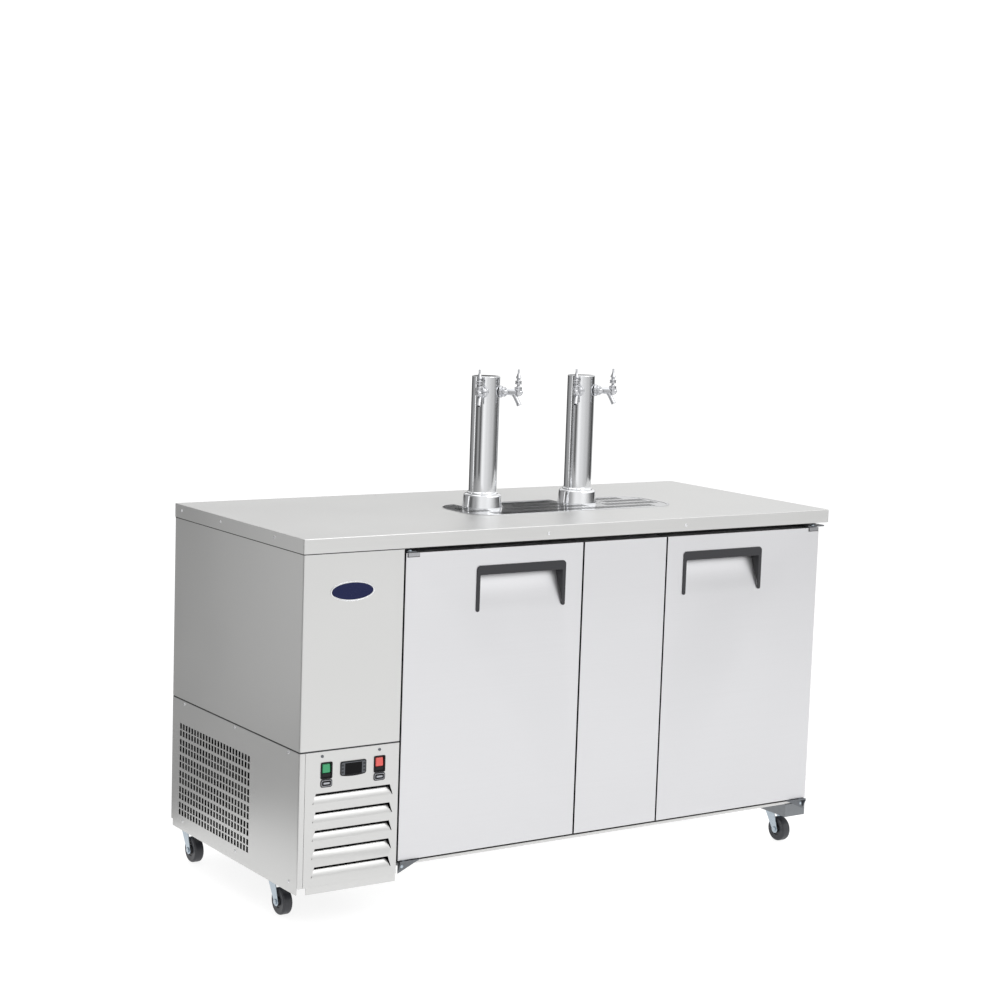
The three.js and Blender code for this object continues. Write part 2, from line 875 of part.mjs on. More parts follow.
function buildBaySkins() {
  addPiece('upper_skin', bentSkin(bay.seam, bodyTop, bayRight, bay.flange), stainless);

  const lowTop = bay.seam - bay.seamGap;
  const corner = bentSkin(bay.bottom, lowTop, bodyLeft + bay.cornerReturn, 0);
  const slots = [];
  const firstTop = bay.seam - grille.fromSeam;
  for (let pair = 0; pair < grille.pairs; pair += 1) {
    for (let twin = 0; twin < 2; twin += 1) {
      const z1 = firstTop - pair * grille.pairPitch - twin * (grille.slotHeight + grille.rowGap);
      for (let column = 0; column < grille.columns; column += 1) {
        const y0 = bodyFront + grille.fromFront + column * grille.columnPitch;
        slots.push(block(
          bodyLeft - overrun,
          bodyLeft + sheet + overrun,
          y0,
          y0 + grille.slotWidth,
          z1 - grille.slotHeight,
          z1,
        ));
      }
    }
  }
  addPiece('side_grille', cutAll(corner, slots), stainless);
  buildLouverPanel(lowTop);
  buildBackPanel();
}

// One louver window: wider at the bottom, where the flap stays joined to the panel
function louverOutline(z0, side, topTrim) {
  const middle = bodyLeft + louver.fromLeft + louver.bottomWidth / 2;
  const z1 = z0 + louver.height - topTrim;
  return outline([
    [middle - louver.bottomWidth / 2 + side, z0],
    [middle + louver.bottomWidth / 2 - side, z0],
    [middle + louver.topWidth / 2 - side, z1],
    [middle - louver.topWidth / 2 + side, z1],
  ]);
}

function buildLouverPanel(lowTop) {
  const panelLeft = bodyLeft + bay.cornerReturn + bay.panelGap;
  const panelBack = bodyFront + sheet;
  const face = block(panelLeft, bayRight, bodyFront, panelBack, bay.bottom, lowTop);
  const sideFlange = block(bayRight - sheet, bayRight, bodyFront, bodyFront + bay.flange, bay.bottom, lowTop);
  const topFlange = block(panelLeft, bayRight, bodyFront, bodyFront + bay.flange, lowTop - sheet, lowTop);
  const cuts = switches.map(({ x }) => block(
    x - bezel.width / 2 + bezel.bodyMargin - seat,
    x + bezel.width / 2 - bezel.bodyMargin + seat,
    bodyFront - overrun,
    panelBack + overrun,
    switchZ - bezel.height / 2 + bezel.bodyMargin - seat,
    switchZ + bezel.height / 2 - bezel.bodyMargin + seat,
  ));
  cuts.push(block(
    controllerX - controller.bodyWidth / 2 - seat,
    controllerX + controller.bodyWidth / 2 + seat,
    bodyFront - overrun,
    panelBack + overrun,
    controllerZ - controller.bodyHeight / 2 - seat,
    controllerZ + controller.bodyHeight / 2 + seat,
  ));
  const flaps = [];
  for (let index = 0; index < louver.count; index += 1) {
    const z0 = bay.seam - louver.fromSeam - louver.height - index * louver.pitch;
    cuts.push(extrudeY(louverOutline(z0, 0, 0), bodyFront - overrun, panelBack + overrun));
    const lean = outline([
      [bodyFront, z0 - sheet],
      [panelBack, z0 - sheet],
      [bodyFront + louver.throatDepth, z0 + louver.height - louver.lipGap],
      [bodyFront + louver.throatDepth - sheet, z0 + louver.height - louver.lipGap],
      [bodyFront, z0],
    ]);
    const middle = bodyLeft + louver.fromLeft + louver.bottomWidth / 2;
    const slab = extrudeX(lean, middle - louver.bottomWidth / 2, middle + louver.bottomWidth / 2);
    const limit = extrudeY(
      louverOutline(z0 - sheet, louver.sideGap, 0),
      bodyFront - overrun,
      bodyFront + louver.throatDepth + overrun,
    );
    flaps.push(slab.intersect(limit));
  }
  const plate = cutAll(joinAll([face, sideFlange, topFlange]), cuts);
  addPiece('louver_panel', joinAll([plate, ...flaps]), stainless);
}

function buildBackPanel() {
  const x0 = bodyLeft + sheet + seat;
  const plate = block(x0, bayRight, bodyBack - sheet, bodyBack, bay.bottom, bodyTop);
  const cuts = [];
  for (let row = 0; row < backVent.rows; row += 1) {
    const z0 = bay.bottom + backVent.fromBottom + row * backVent.pitch;
    for (let column = 0; column < backVent.columns; column += 1) {
      const slotLeft = x0 + backVent.inset + column * (backVent.slotWidth + backVent.pitch);
      cuts.push(block(
        slotLeft,
        slotLeft + backVent.slotWidth,
        bodyBack - sheet - overrun,
        bodyBack + overrun,
        z0,
        z0 + backVent.slotHeight,
      ));
    }
  }
  const hole = turnedAlongY(cylinder(gland.radius, 0, sheet + overrun + overrun, fan.sides));
  const glandX = bayRight - gland.fromRight;
  cuts.push(placed(hole, glandX, bodyBack - sheet - overrun, bay.bottom + gland.fromBottom));
  addPiece('bay_back_panel', cutAll(plate, cuts), galvanised);
}

// Controls
function buildSwitch({ name, x, material }) {
  const faceBack = bodyFront - seat;
  const frame = extrudeY(
    roundedRect(
      x - bezel.width / 2,
      x + bezel.width / 2,
      switchZ - bezel.height / 2,
      switchZ + bezel.height / 2,
      bezel.cornerRadius,
    ),
    faceBack - bezel.lip / 2,
    faceBack,
    bezel.cornerSteps,
  );
  const box = block(
    x - bezel.width / 2 + bezel.bodyMargin,
    x + bezel.width / 2 - bezel.bodyMargin,
    faceBack - bezel.lip / 2,
    bodyFront + bezel.bodyDepth,
    switchZ - bezel.height / 2 + bezel.bodyMargin,
    switchZ + bezel.height / 2 - bezel.bodyMargin,
  );
  const well = block(
    x - rocker.width / 2 - rocker.gap,
    x + rocker.width / 2 + rocker.gap,
    faceBack - bezel.lip,
    bodyFront + rocker.depth + rocker.pivotDepth,
    switchZ - rocker.height / 2 - rocker.gap,
    switchZ + rocker.height / 2 + rocker.gap,
  );
  addPiece(`${name}_switch_bezel`, frame.add(box).subtract(well), blackPlastic);

  const z0 = switchZ - rocker.height / 2;
  const z1 = switchZ + rocker.height / 2;
  const crown = outline([
    [faceBack - bezel.lip / 2 + seat, z0],
    [bodyFront + rocker.depth, z0 + rocker.height * rocker.kneeShare],
    [bodyFront + rocker.depth, z1 - rocker.height * rocker.kneeShare],
    [faceBack - bezel.lip / 2 + seat, z1],
    [faceBack - bezel.lip / 2 + rocker.proud / 2, switchZ],
  ]);
  addPiece(`${name}_rocker`, extrudeX(crown, x - rocker.width / 2, x + rocker.width / 2), material);
}

// Controller face: straight top, with ends and a lower edge that bow out
function controllerOutline() {
  const half = controller.width / 2;
  const high = controllerZ + controller.height / 2;
  const low = controllerZ - controller.height / 2 + controller.bow;
  const shape = new THREE.Shape();
  const endLeft = controllerX - half + controller.bow;
  const endRight = controllerX + half - controller.bow;
  shape.moveTo(endLeft, high);
  shape.quadraticCurveTo(controllerX - half, controllerZ, endLeft, low);
  shape.quadraticCurveTo(controllerX, low - controller.bow - controller.bow, endRight, low);
  shape.quadraticCurveTo(controllerX + half, controllerZ, endRight, high);
  return shape;
}

function buildController() {
  const faceBack = bodyFront - seat;
  const plate = extrudeY(controllerOutline(), faceBack - controller.lip / 2, faceBack, controller.bowSteps);
  const box = block(
    controllerX - controller.bodyWidth / 2,
    controllerX + controller.bodyWidth / 2,
    faceBack - controller.lip / 2,
    bodyFront + controller.bodyDepth,
    controllerZ - controller.bodyHeight / 2,
    controllerZ + controller.bodyHeight / 2,
  );
  const glassWell = block(
    controllerX - controller.screenWidth / 2 - controller.screenClearance,
    controllerX + controller.screenWidth / 2 + controller.screenClearance,
    faceBack - controller.lip,
    faceBack - controller.lip / 2 + controller.screenDepth + controller.screenClearance,
    controllerZ - controller.screenHeight / 2 - controller.screenClearance,
    controllerZ + controller.screenHeight / 2 + controller.screenClearance,
  );
  addPiece('temperature_controller', plate.add(box).subtract(glassWell), blackPlastic);
  addPiece(
    'controller_screen',
    block(
      controllerX - controller.screenWidth / 2,
      controllerX + controller.screenWidth / 2,
      faceBack - controller.lip / 2,
      faceBack - controller.lip / 2 + controller.screenDepth,
      controllerZ - controller.screenHeight / 2,
      controllerZ + controller.screenHeight / 2,
    ),
    screenGlass,
  );
}

// Refrigeration: a finned block, used for both coils
function finnedBlock(x0, x1, y0, y1, z0, z1) {
  const points = [[x0, y1], [x0, y0 + (y1 - y0) * (1 - coil.finDepthShare)]];
  const pitch = (x1 - x0) / coil.fins;
  const rootY = y0 + (y1 - y0) * (1 - coil.finDepthShare);
  for (let fin = 0; fin < coil.fins; fin += 1) {
    const start = x0 + fin * pitch + (pitch * (1 - coil.finShare)) / 2;
    const end = start + pitch * coil.finShare;
    points.push([start, rootY], [start, y0], [end, y0], [end, rootY]);
  }
  points.push([x1, rootY], [x1, y1]);
  return extrudeZ(outline(points), z0, z1);
}

// A fan turned round the vertical axis at the origin, laid down later
function fanGeometry() {
  const hubGeometry = cylinder(fan.hub, -fan.hubLength / 2, fan.hubLength / 2, fan.sides);
  const shaftEnd = fan.hubLength / 2 + fan.motorGap - seat;
  const solids = [solid(hubGeometry), solid(cylinder(fan.shaftRadius, 0, shaftEnd, hinge.pinSides))];
  const bladeShape = outline([
    [fan.hub - overrun, -fan.bladeRoot / 2],
    [fan.radius * fan.shoulderShare, -fan.bladeTip / 2],
    [fan.radius, -fan.bladeTip * fan.bladeEndShare],
    [fan.radius, fan.bladeTip * fan.bladeEndShare],
    [fan.radius * fan.shoulderShare, fan.bladeTip / 2],
    [fan.hub - overrun, fan.bladeRoot / 2],
  ]);
  for (let index = 0; index < fan.blades; index += 1) {
    const blade = extrude(bladeShape, fan.bladeThickness, 1);
    blade.translate(0, 0, -fan.bladeThickness / 2);
    blade.rotateX(THREE.MathUtils.degToRad(fan.pitch));
    blade.rotateZ((index * fullTurn) / fan.blades);
    solids.push(solid(blade));
  }
  return geometryOf(joinAll(solids));
}

// Shroud plate with a ring round the fan and a motor held on a strut behind it
function shroudGeometry(halfWidth, halfHeight) {
  const plate = extrude(outline([
    [-halfWidth, -halfHeight],
    [halfWidth, -halfHeight],
    [halfWidth, halfHeight],
    [-halfWidth, halfHeight],
  ]), fan.plate, 1);
  const ringRadius = fan.radius + fan.shroudGap;
  const ring = solid(cylinder(ringRadius + fan.plate, 0, fan.shroudDepth, fan.sides));
  const bore = solid(cylinder(ringRadius, -overrun, fan.shroudDepth + overrun, fan.sides));
  const motorStart = fan.shroudDepth / 2 + fan.hubLength / 2 + fan.motorGap;
  const motor = solid(cylinder(fan.motorRadius, motorStart, motorStart + fan.motorLength, fan.sides));
  const strutHigh = motorStart + fan.motorGap + fan.strut;
  const reach = ringRadius + fan.plate;
  const strut = block(-reach, reach, -fan.strut, fan.strut, motorStart, strutHigh);
  const legs = [-1, 1].map((side) => {
    const legOut = side * (reach - fan.plate / 2);
    const legIn = legOut - fan.plate / 2;
    return block(legIn, legIn + fan.plate, -fan.strut, fan.strut, fan.plate / 2, strutHigh);
  });
  const body = joinAll([solid(plate), ring]).subtract(bore).add(motor).add(strut);
  return geometryOf(joinAll([body, ...legs]));
}

function buildCooling() {
  const baseTop = bay.bottom + sheet;
  const floorPlate = block(
    bodyLeft + bay.bend,
    bayRight - sheet - seat,
    bodyFront + bay.bend,
    bodyBack - sheet - seat,
    bay.bottom,
    baseTop,
  );
  addPiece('machine_base', floorPlate, galvanised);

  const middleX = (bodyLeft + bayRight) / 2;
  const coilY0 = bodyFront + condenser.behindPanel;
  const coilZ0 = baseTop + seat;
  addPiece(
    'condenser_coil',
    finnedBlock(
      middleX - condenser.width / 2,
      middleX + condenser.width / 2,
      coilY0,
      coilY0 + condenser.depth,
      coilZ0,
      coilZ0 + condenser.height,
    ),
    finAluminium,
  );
  const shroudY = coilY0 + condenser.depth + seat;
  const fanZ = coilZ0 + condenser.height / 2;
  const shroud = shroudGeometry(condenser.width / 2, condenser.height / 2).rotateX(-quarterTurn);
  addPiece('condenser_shroud', placed(shroud, middleX, shroudY, fanZ), blackEnamel);
  const spinner = fanGeometry().rotateX(-quarterTurn);
  const spinnerY = shroudY + fan.shroudDepth / 2;
  addPiece('condenser_fan', placed(spinner, middleX, spinnerY, fanZ), blackPlastic);

  const compressorY = bodyBack - compressor.fromBack;
  const footTop = baseTop + compressor.footGap + compressor.foot;
  const domePoints = [[0, footTop - compressor.foot / 2], [compressor.radius, footTop - compressor.foot / 2]];
  for (let step = 0; step <= compressor.domeSteps; step += 1) {
    const turn = (step / compressor.domeSteps) * quarterTurn;
    domePoints.push([
      compressor.radius * Math.cos(turn),
      footTop + compressor.height - compressor.dome + compressor.dome * Math.sin(turn),
    ]);
  }
  domePoints[domePoints.length - 1][0] = 0;
  const dome = placed(turned(domePoints, compressor.sides), middleX, compressorY, 0);
  const half = compressor.footSize / 2;
  const footPlate = block(
    middleX - half,
    middleX + half,
    compressorY - half,
    compressorY + half,
    footTop - compressor.foot,
    footTop,
  );
  const feet = [-1, 1].flatMap((sx) => [-1, 1].map((sy) => placed(
    cylinder(compressor.footGap, baseTop + seat, footTop - compressor.foot / 2, hinge.pinSides),
    middleX + sx * (half - compressor.footGap),
    compressorY + sy * (half - compressor.footGap),
    0,
  )));
  addPiece('compressor', joinAll([dome, footPlate, ...feet]), blackEnamel);
}

// The insulated box above the machine space, open towards the cabinet
function buildEvaporator() {
  const x0 = bodyLeft + sheet + seat;
  const x1 = bayRight - sheet - seat;
  const y0 = bodyFront + bay.flange + seat;
  const y1 = bodyBack - sheet - seat;
  const z0 = bay.seam;
  const z1 = bodyTop;
  const wall = evaporatorBox.wall;
  const tub = block(x0, x1, y0, y1, z0, z1);
  const hollow = block(x0 + wall, x1 + overrun, y0 + wall, y1 - wall, z0 + wall, z1 - wall);
  addPiece('evaporator_box', tub.subtract(hollow), liner);

  const insideBack = bodyBack - cabinet.wall;
  const fanY = (frameBack + seat + insideBack) / 2;
  const fanZ = bodyTop - supply.fromTop;
  const coilX1 = cabinetLeft - evaporator.fromBulkhead;
  const floorZ = z0 + wall + seat;
  const half = evaporator.width / 2;
  const finned = geometryOf(finnedBlock(-half, half, 0, evaporator.depth, 0, evaporator.height));
  finned.rotateZ(quarterTurn);
  addPiece('evaporator_coil', placed(finned, coilX1, fanY, floorZ), finAluminium);

  const ringHalf = fan.radius + fan.shroudGap + fan.plate + fan.strut;
  const shroudX = cabinetLeft - seat;
  const shroud = shroudGeometry(ringHalf, ringHalf).rotateY(-quarterTurn);
  addPiece('evaporator_shroud', placed(shroud, shroudX, fanY, fanZ), blackPlastic);
  const spinner = fanGeometry().rotateY(-quarterTurn);
  addPiece('evaporator_fan', placed(spinner, shroudX - fan.shroudDepth / 2, fanY, fanZ), blackPlastic);
}

// Towers: a capped tube on a thick round foot, open below for the beer lines
function towerGeometry() {
  const r = tower.radius;
  const bore = r - tower.wall;
  return turned([
    [0, tower.height - tower.wall],
    [bore, tower.height - tower.wall],
    [bore, 0],
    [tower.flangeRadius, 0],
    [tower.flangeRadius, tower.flangeHeight - tower.flangeEdge],
    [tower.flangeRadius - tower.flangeEdge, tower.flangeHeight],
    [tower.neckRadius, tower.flangeHeight],
    [r, tower.flangeHeight + tower.neckHeight],
    [r, tower.height - tower.edge],
    [r - tower.edge, tower.height],
    [0, tower.height],
  ], tower.sides);
}

// One tap seen with its shank along +X, its axis at height zero and the tower's axis at the origin
function tapBody() {
  const start = tower.radius - tower.wall - tap.shankInside;
  const collarStart = tower.radius + seat;
  const axisProfile = [
    [0, start],
    [tap.shankRadius, start],
    [tap.shankRadius, collarStart],
    [tap.collarRadius, collarStart],
    [tap.collarRadius, collarStart + tap.collarLength * tap.collarFlatShare],
    [tap.nutRadius, collarStart + tap.collarLength],
    [tap.nutRadius, collarStart + tap.nutLength],
    [tap.bodyRadius, collarStart + tap.nutLength + tap.collarLength * tap.taperShare],
    [tap.bodyRadius, tap.noseReach - tap.bodyRadius / 2],
    [0, tap.noseReach],
  ];
  const barrel = solid(turnedAlongX(turned(axisProfile, tap.sides)));
  const cup = placed(turned([
    [0, -tap.cupBottom],
    [tap.cupRadius, -tap.cupBottom],
    [tap.cupRadius, tap.cupTop],
    [0, tap.cupTop],
  ], tap.sides), tap.leverReach, 0, 0);
  const socketRadius = lever.ball + lever.ballClearance;
  const socket = placed(
    cylinder(socketRadius, tap.cupTop - socketRadius, tap.cupTop + overrun, tap.sides),
    tap.leverReach,
    0,
    0,
  );
  const lean = THREE.MathUtils.degToRad(tap.spoutLean);
  const spoutLength = tap.spoutDrop / Math.cos(lean);
  const spoutGeometry = cylinder(tap.spoutRadius, -spoutLength, 0, tap.sides).rotateY(-lean);
  const boreTop = -spoutLength / 2;
  const spoutBore = cylinder(tap.spoutBore, -spoutLength - overrun, boreTop, tap.sides).rotateY(-lean);
  const spoutX = tap.spoutReach;
  const spout = placed(spoutGeometry, spoutX, 0, 0);
  const spoutHole = placed(spoutBore, spoutX, 0, 0);
  return joinAll([barrel, cup, spout]).subtract(socket).subtract(spoutHole);
}

// The lever stands on a ball in the tap's cup
function leverGeometry() {
  const ballPoints = [];
  const neckTurn = Math.acos(lever.neck / lever.ball);
  for (let step = 0; step <= lever.ballSteps; step += 1) {
    const turn = -quarterTurn + ((neckTurn + quarterTurn) * step) / lever.ballSteps;
    ballPoints.push([step === 0 ? 0 : lever.ball * Math.cos(turn), lever.ball * Math.sin(turn)]);
  }
  const collarEnd = lever.collarStart + lever.collarLength;
  const waistEnd = collarEnd + lever.waistLength;
  const flareEnd = waistEnd + lever.flareLength;
  return turned([
    ...ballPoints,
    [lever.neck, lever.collarStart],
    [lever.collarRadius, lever.collarStart],
    [lever.collarRadius, collarEnd],
    [lever.waist, collarEnd],
    [lever.waist, waistEnd],
    [lever.flare, flareEnd],
    [lever.stem, flareEnd + lever.coneLength],
    [lever.stem, lever.top],
    [0, lever.top],
  ], lever.sides);
}

function buildTowers() {
  const foot = cooler.height + seat;
  const axisZ = foot + tower.height - tap.belowTop;
  towerXs.forEach((x, index) => {
    const side = index === 0 ? 'left' : 'right';
    const holes = [-1, 1].map((turnSide) => {
      const hole = turnedAlongX(cylinder(
        tap.shankRadius + tap.holeClearance,
        tower.radius / 2,
        tower.radius + overrun,
        tap.sides,
      ));
      hole.rotateZ(tapTurn(turnSide));
      return placed(hole, x, towerY, axisZ);
    });
    addPiece(`tower_${side}`, cutAll(placed(towerGeometry(), x, towerY, foot), holes), polished);
    [-1, 1].forEach((turnSide) => {
      const hand = turnSide < 0 ? 'a' : 'b';
      const body = geometryOf(tapBody());
      body.rotateZ(tapTurn(turnSide));
      addPiece(`tap_${side}_${hand}`, placed(body, x, towerY, axisZ), polished);
      const handleShape = leverGeometry();
      handleShape.translate(tap.leverReach, 0, tap.cupTop);
      handleShape.rotateZ(tapTurn(turnSide));
      addPiece(`tap_lever_${side}_${hand}`, placed(handleShape, x, towerY, axisZ), polished);
    });
  });
}

// Taps point forwards, one to the left and one to the right of straight ahead
function tapTurn(turnSide) {
  return -quarterTurn + turnSide * THREE.MathUtils.degToRad(tap.angle);
}

// Base frame below the bay, and a channel with a closed front below the right end of the cabinet
function buildBase() {
  const x0 = bodyLeft + base.inset;
  const x1 = bayRight;
  const y0 = bodyFront + base.inset;
  const y1 = bodyBack - base.inset;
  const ringTop = bay.bottom - seat;
  const outer = block(x0, x1, y0, y1, base.bottom, ringTop);
  const inner = block(
    x0 + base.wall,
    x1 - base.wall,
    y0 + base.wall,
    y1 - base.wall,
    base.bottom - overrun,
    ringTop + overrun,
  );
  const notch = block(
    x0 - overrun,
    x0 + base.cornerNotch,
    y0 - overrun,
    y0 + base.wall + overrun,
    base.bottom - overrun,
    bay.bottom - base.wall,
  );
  const leftPads = leftCasters.map(({ y }) => block(
    x0,
    x0 + base.padWidth,
    Math.max(y - base.padLength / 2, y0),
    Math.min(y + base.padLength / 2, y1),
    base.bottom,
    base.bottom + base.wall,
  ));
  addPiece('base_frame', joinAll([outer.subtract(inner).subtract(notch), ...leftPads]), galvanised);

  const channelRight = bodyRight - base.inset;
  const channelLeft = channelRight - base.channelWidth;
  const channelTop = cabinet.bottom - seat;
  const channelFront = doorFace + hinge.frontMargin;
  const bar = block(channelLeft, channelRight, channelFront, y1, base.bottom, channelTop);
  const groove = block(
    channelLeft + base.wall,
    channelRight - base.wall,
    channelFront + base.wall,
    y1 + overrun,
    base.bottom + base.wall,
    channelTop + overrun,
  );
  addPiece('base_channel', bar.subtract(groove), galvanised);
}

// Casters: fork on a swivel race, axle through the wheel, wheel trailing towards the front
function buildCaster({ name, x, y }) {
  const raceTop = base.bottom - seat;
  const crownTop = raceTop - caster.raceHeight;
  const crown = placed(turned([
    [0, crownTop - caster.crown],
    [caster.crownRadius, crownTop - caster.crown],
    [caster.crownRadius, crownTop],
    [caster.raceRadius, crownTop],
    [caster.raceRadius, raceTop],
    [0, raceTop],
  ], caster.crownSides), x, y, 0);
  const axleY = y - caster.trail;
  const legOuter = caster.wheelWidth / 2 + caster.legGap + caster.legThickness;
  const bridgeHalf = caster.crownRadius * caster.bridgeShare;
  const legHalf = caster.legWidth / 2;
  const tipHalf = caster.legWidth * caster.legTipShare;
  const legShape = outline([
    [y - bridgeHalf, crownTop],
    [axleY - legHalf, caster.wheelRadius],
    [axleY - tipHalf, caster.wheelRadius - legHalf],
    [axleY + tipHalf, caster.wheelRadius - legHalf],
    [axleY + legHalf, caster.wheelRadius],
    [y + bridgeHalf, crownTop],
  ]);
  const legs = [-1, 1].map((side) => {
    const outside = x + side * legOuter;
    const inside = x + side * (legOuter - caster.legThickness);
    return extrudeX(legShape, Math.min(outside, inside), Math.max(outside, inside));
  });
  const bridge = block(
    x - legOuter,
    x + legOuter,
    y - bridgeHalf,
    y + bridgeHalf,
    crownTop - caster.crown,
    crownTop,
  );
  const axleGeometry = turnedAlongX(cylinder(
    caster.bore - caster.axleClearance,
    -legOuter - caster.axleMargin,
    legOuter + caster.axleMargin,
    hinge.pinSides,
  ));
  const axle = placed(axleGeometry, x, axleY, caster.wheelRadius);
  addPiece(`caster_fork_${name}`, joinAll([crown, bridge, axle, ...legs]), zinc);

  const half = caster.wheelWidth / 2;
  const r = caster.wheelRadius;
  const wheelGeometry = turnedAlongX(turned([
    [caster.bore, -half],
    [caster.hubRadius, -half + caster.hubRecess],
    [r - caster.treadEdge, -half],
    [r, -half + caster.treadEdge],
    [r, half - caster.treadEdge],
    [r - caster.treadEdge, half],
    [caster.hubRadius, half - caster.hubRecess],
    [caster.bore, half],
    [caster.bore, -half],
  ], caster.sides));
  addPiece(`caster_wheel_${name}`, placed(wheelGeometry, x, axleY, caster.wheelRadius), wheelRubber);
}

buildCounter();
buildTray();
buildCabinet();
doors.forEach(buildDoor);
doors.forEach(buildHinges);
buildBaySkins();
switches.forEach(buildSwitch);
buildController();
buildCooling();
buildEvaporator();
buildTowers();
buildBase();
[...leftCasters, ...rightCasters].forEach(buildCaster);

export default cooledCounter;
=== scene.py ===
"""Dresses the packed draft beer cooler: stainless sheets, two tap towers, controls, doors and casters."""

import json
import math

import bmesh
import bpy
from mathutils import Matrix, Vector

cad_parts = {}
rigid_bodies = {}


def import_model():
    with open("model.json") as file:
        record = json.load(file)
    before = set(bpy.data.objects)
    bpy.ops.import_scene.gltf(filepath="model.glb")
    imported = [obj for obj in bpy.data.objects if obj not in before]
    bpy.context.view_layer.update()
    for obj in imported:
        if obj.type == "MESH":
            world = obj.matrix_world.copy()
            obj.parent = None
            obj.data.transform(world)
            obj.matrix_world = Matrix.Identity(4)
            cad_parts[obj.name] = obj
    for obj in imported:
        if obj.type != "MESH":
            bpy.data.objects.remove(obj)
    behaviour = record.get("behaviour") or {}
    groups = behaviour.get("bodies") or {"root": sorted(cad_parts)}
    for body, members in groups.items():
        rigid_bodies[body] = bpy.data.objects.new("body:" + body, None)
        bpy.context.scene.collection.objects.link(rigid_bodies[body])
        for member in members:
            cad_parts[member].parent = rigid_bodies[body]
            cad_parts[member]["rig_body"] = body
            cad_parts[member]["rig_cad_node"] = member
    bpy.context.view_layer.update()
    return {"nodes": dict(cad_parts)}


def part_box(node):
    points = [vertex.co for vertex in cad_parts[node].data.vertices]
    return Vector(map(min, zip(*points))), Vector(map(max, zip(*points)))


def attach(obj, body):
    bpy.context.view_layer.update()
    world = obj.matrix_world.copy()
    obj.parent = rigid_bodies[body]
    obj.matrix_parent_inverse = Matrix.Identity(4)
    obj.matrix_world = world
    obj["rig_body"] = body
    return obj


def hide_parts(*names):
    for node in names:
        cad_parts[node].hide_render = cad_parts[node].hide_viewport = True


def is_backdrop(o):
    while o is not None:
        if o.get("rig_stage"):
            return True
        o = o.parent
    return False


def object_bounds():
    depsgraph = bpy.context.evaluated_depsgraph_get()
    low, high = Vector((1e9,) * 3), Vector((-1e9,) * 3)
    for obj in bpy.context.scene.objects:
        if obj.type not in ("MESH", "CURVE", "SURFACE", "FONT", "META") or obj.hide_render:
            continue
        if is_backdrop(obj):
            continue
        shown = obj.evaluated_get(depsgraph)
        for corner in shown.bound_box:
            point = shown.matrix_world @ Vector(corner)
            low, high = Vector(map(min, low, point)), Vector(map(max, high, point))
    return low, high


bl_info = {
    "name": "Draft beer cooler",
    "version": (1, 0, 0),
    "blender": (4, 5, 0),
    "location": "3D View > Sidebar > Beer cooler",
    "description": "Dresses the draft beer cooler with its sheets, towers, taps, controls, doors and casters",
    "category": "Add Mesh",
}

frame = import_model()
MM = 0.001
QUARTER = math.pi / 2
X, Y, Z = range(3)
SIDES = ("left", "right")
TOWERS = ("tower_left", "tower_right")

# How far a cutting tool reaches past the piece it cuts
PAST = 10 * MM
FAR_PAST = 100 * MM

# How close to an axis an edge runs, or a face looks, to count as square to the piece
RUNS_ALONG = 0.999
LOOKS_ALONG = 0.9

# Places that several pieces share
PIN_INSET = 16 * MM
PIN_DEPTH = 12 * MM
PULL_ROOF = 4 * MM
TAP_DROP = 43 * MM
LEVER_REACH = 93 * MM
LEVER_RISE = 15 * MM
WHEEL_TRAIL = 25 * MM
WHEEL_HEIGHT = 36 * MM
FORK_HEIGHT = 91.7 * MM


def body_of(node):
    """The body that a packed node rides on."""
    return frame["nodes"][node]["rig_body"]


def middle_of(node):
    """The middle of a packed node's box."""
    low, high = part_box(node)
    return (low + high) / 2


def linear(hex_colour):
    """Turns an sRGB hex value into linear red, green and blue."""
    parts = [int(hex_colour[i : i + 2], 16) / 255 for i in (1, 3, 5)]
    return tuple(p / 12.92 if p <= 0.04045 else ((p + 0.055) / 1.055) ** 2.4 for p in parts)


# Sizes and colours that a user would change


def length(name, description, millimetres):
    return bpy.props.FloatProperty(
        name=name, description=description, default=millimetres * MM, min=0.0, unit="LENGTH"
    )


def colour(name, description, hex_colour):
    value = linear(hex_colour)
    return bpy.props.FloatVectorProperty(
        name=name, description=description, default=value, min=0.0, max=1.0, size=3, subtype="COLOR"
    )


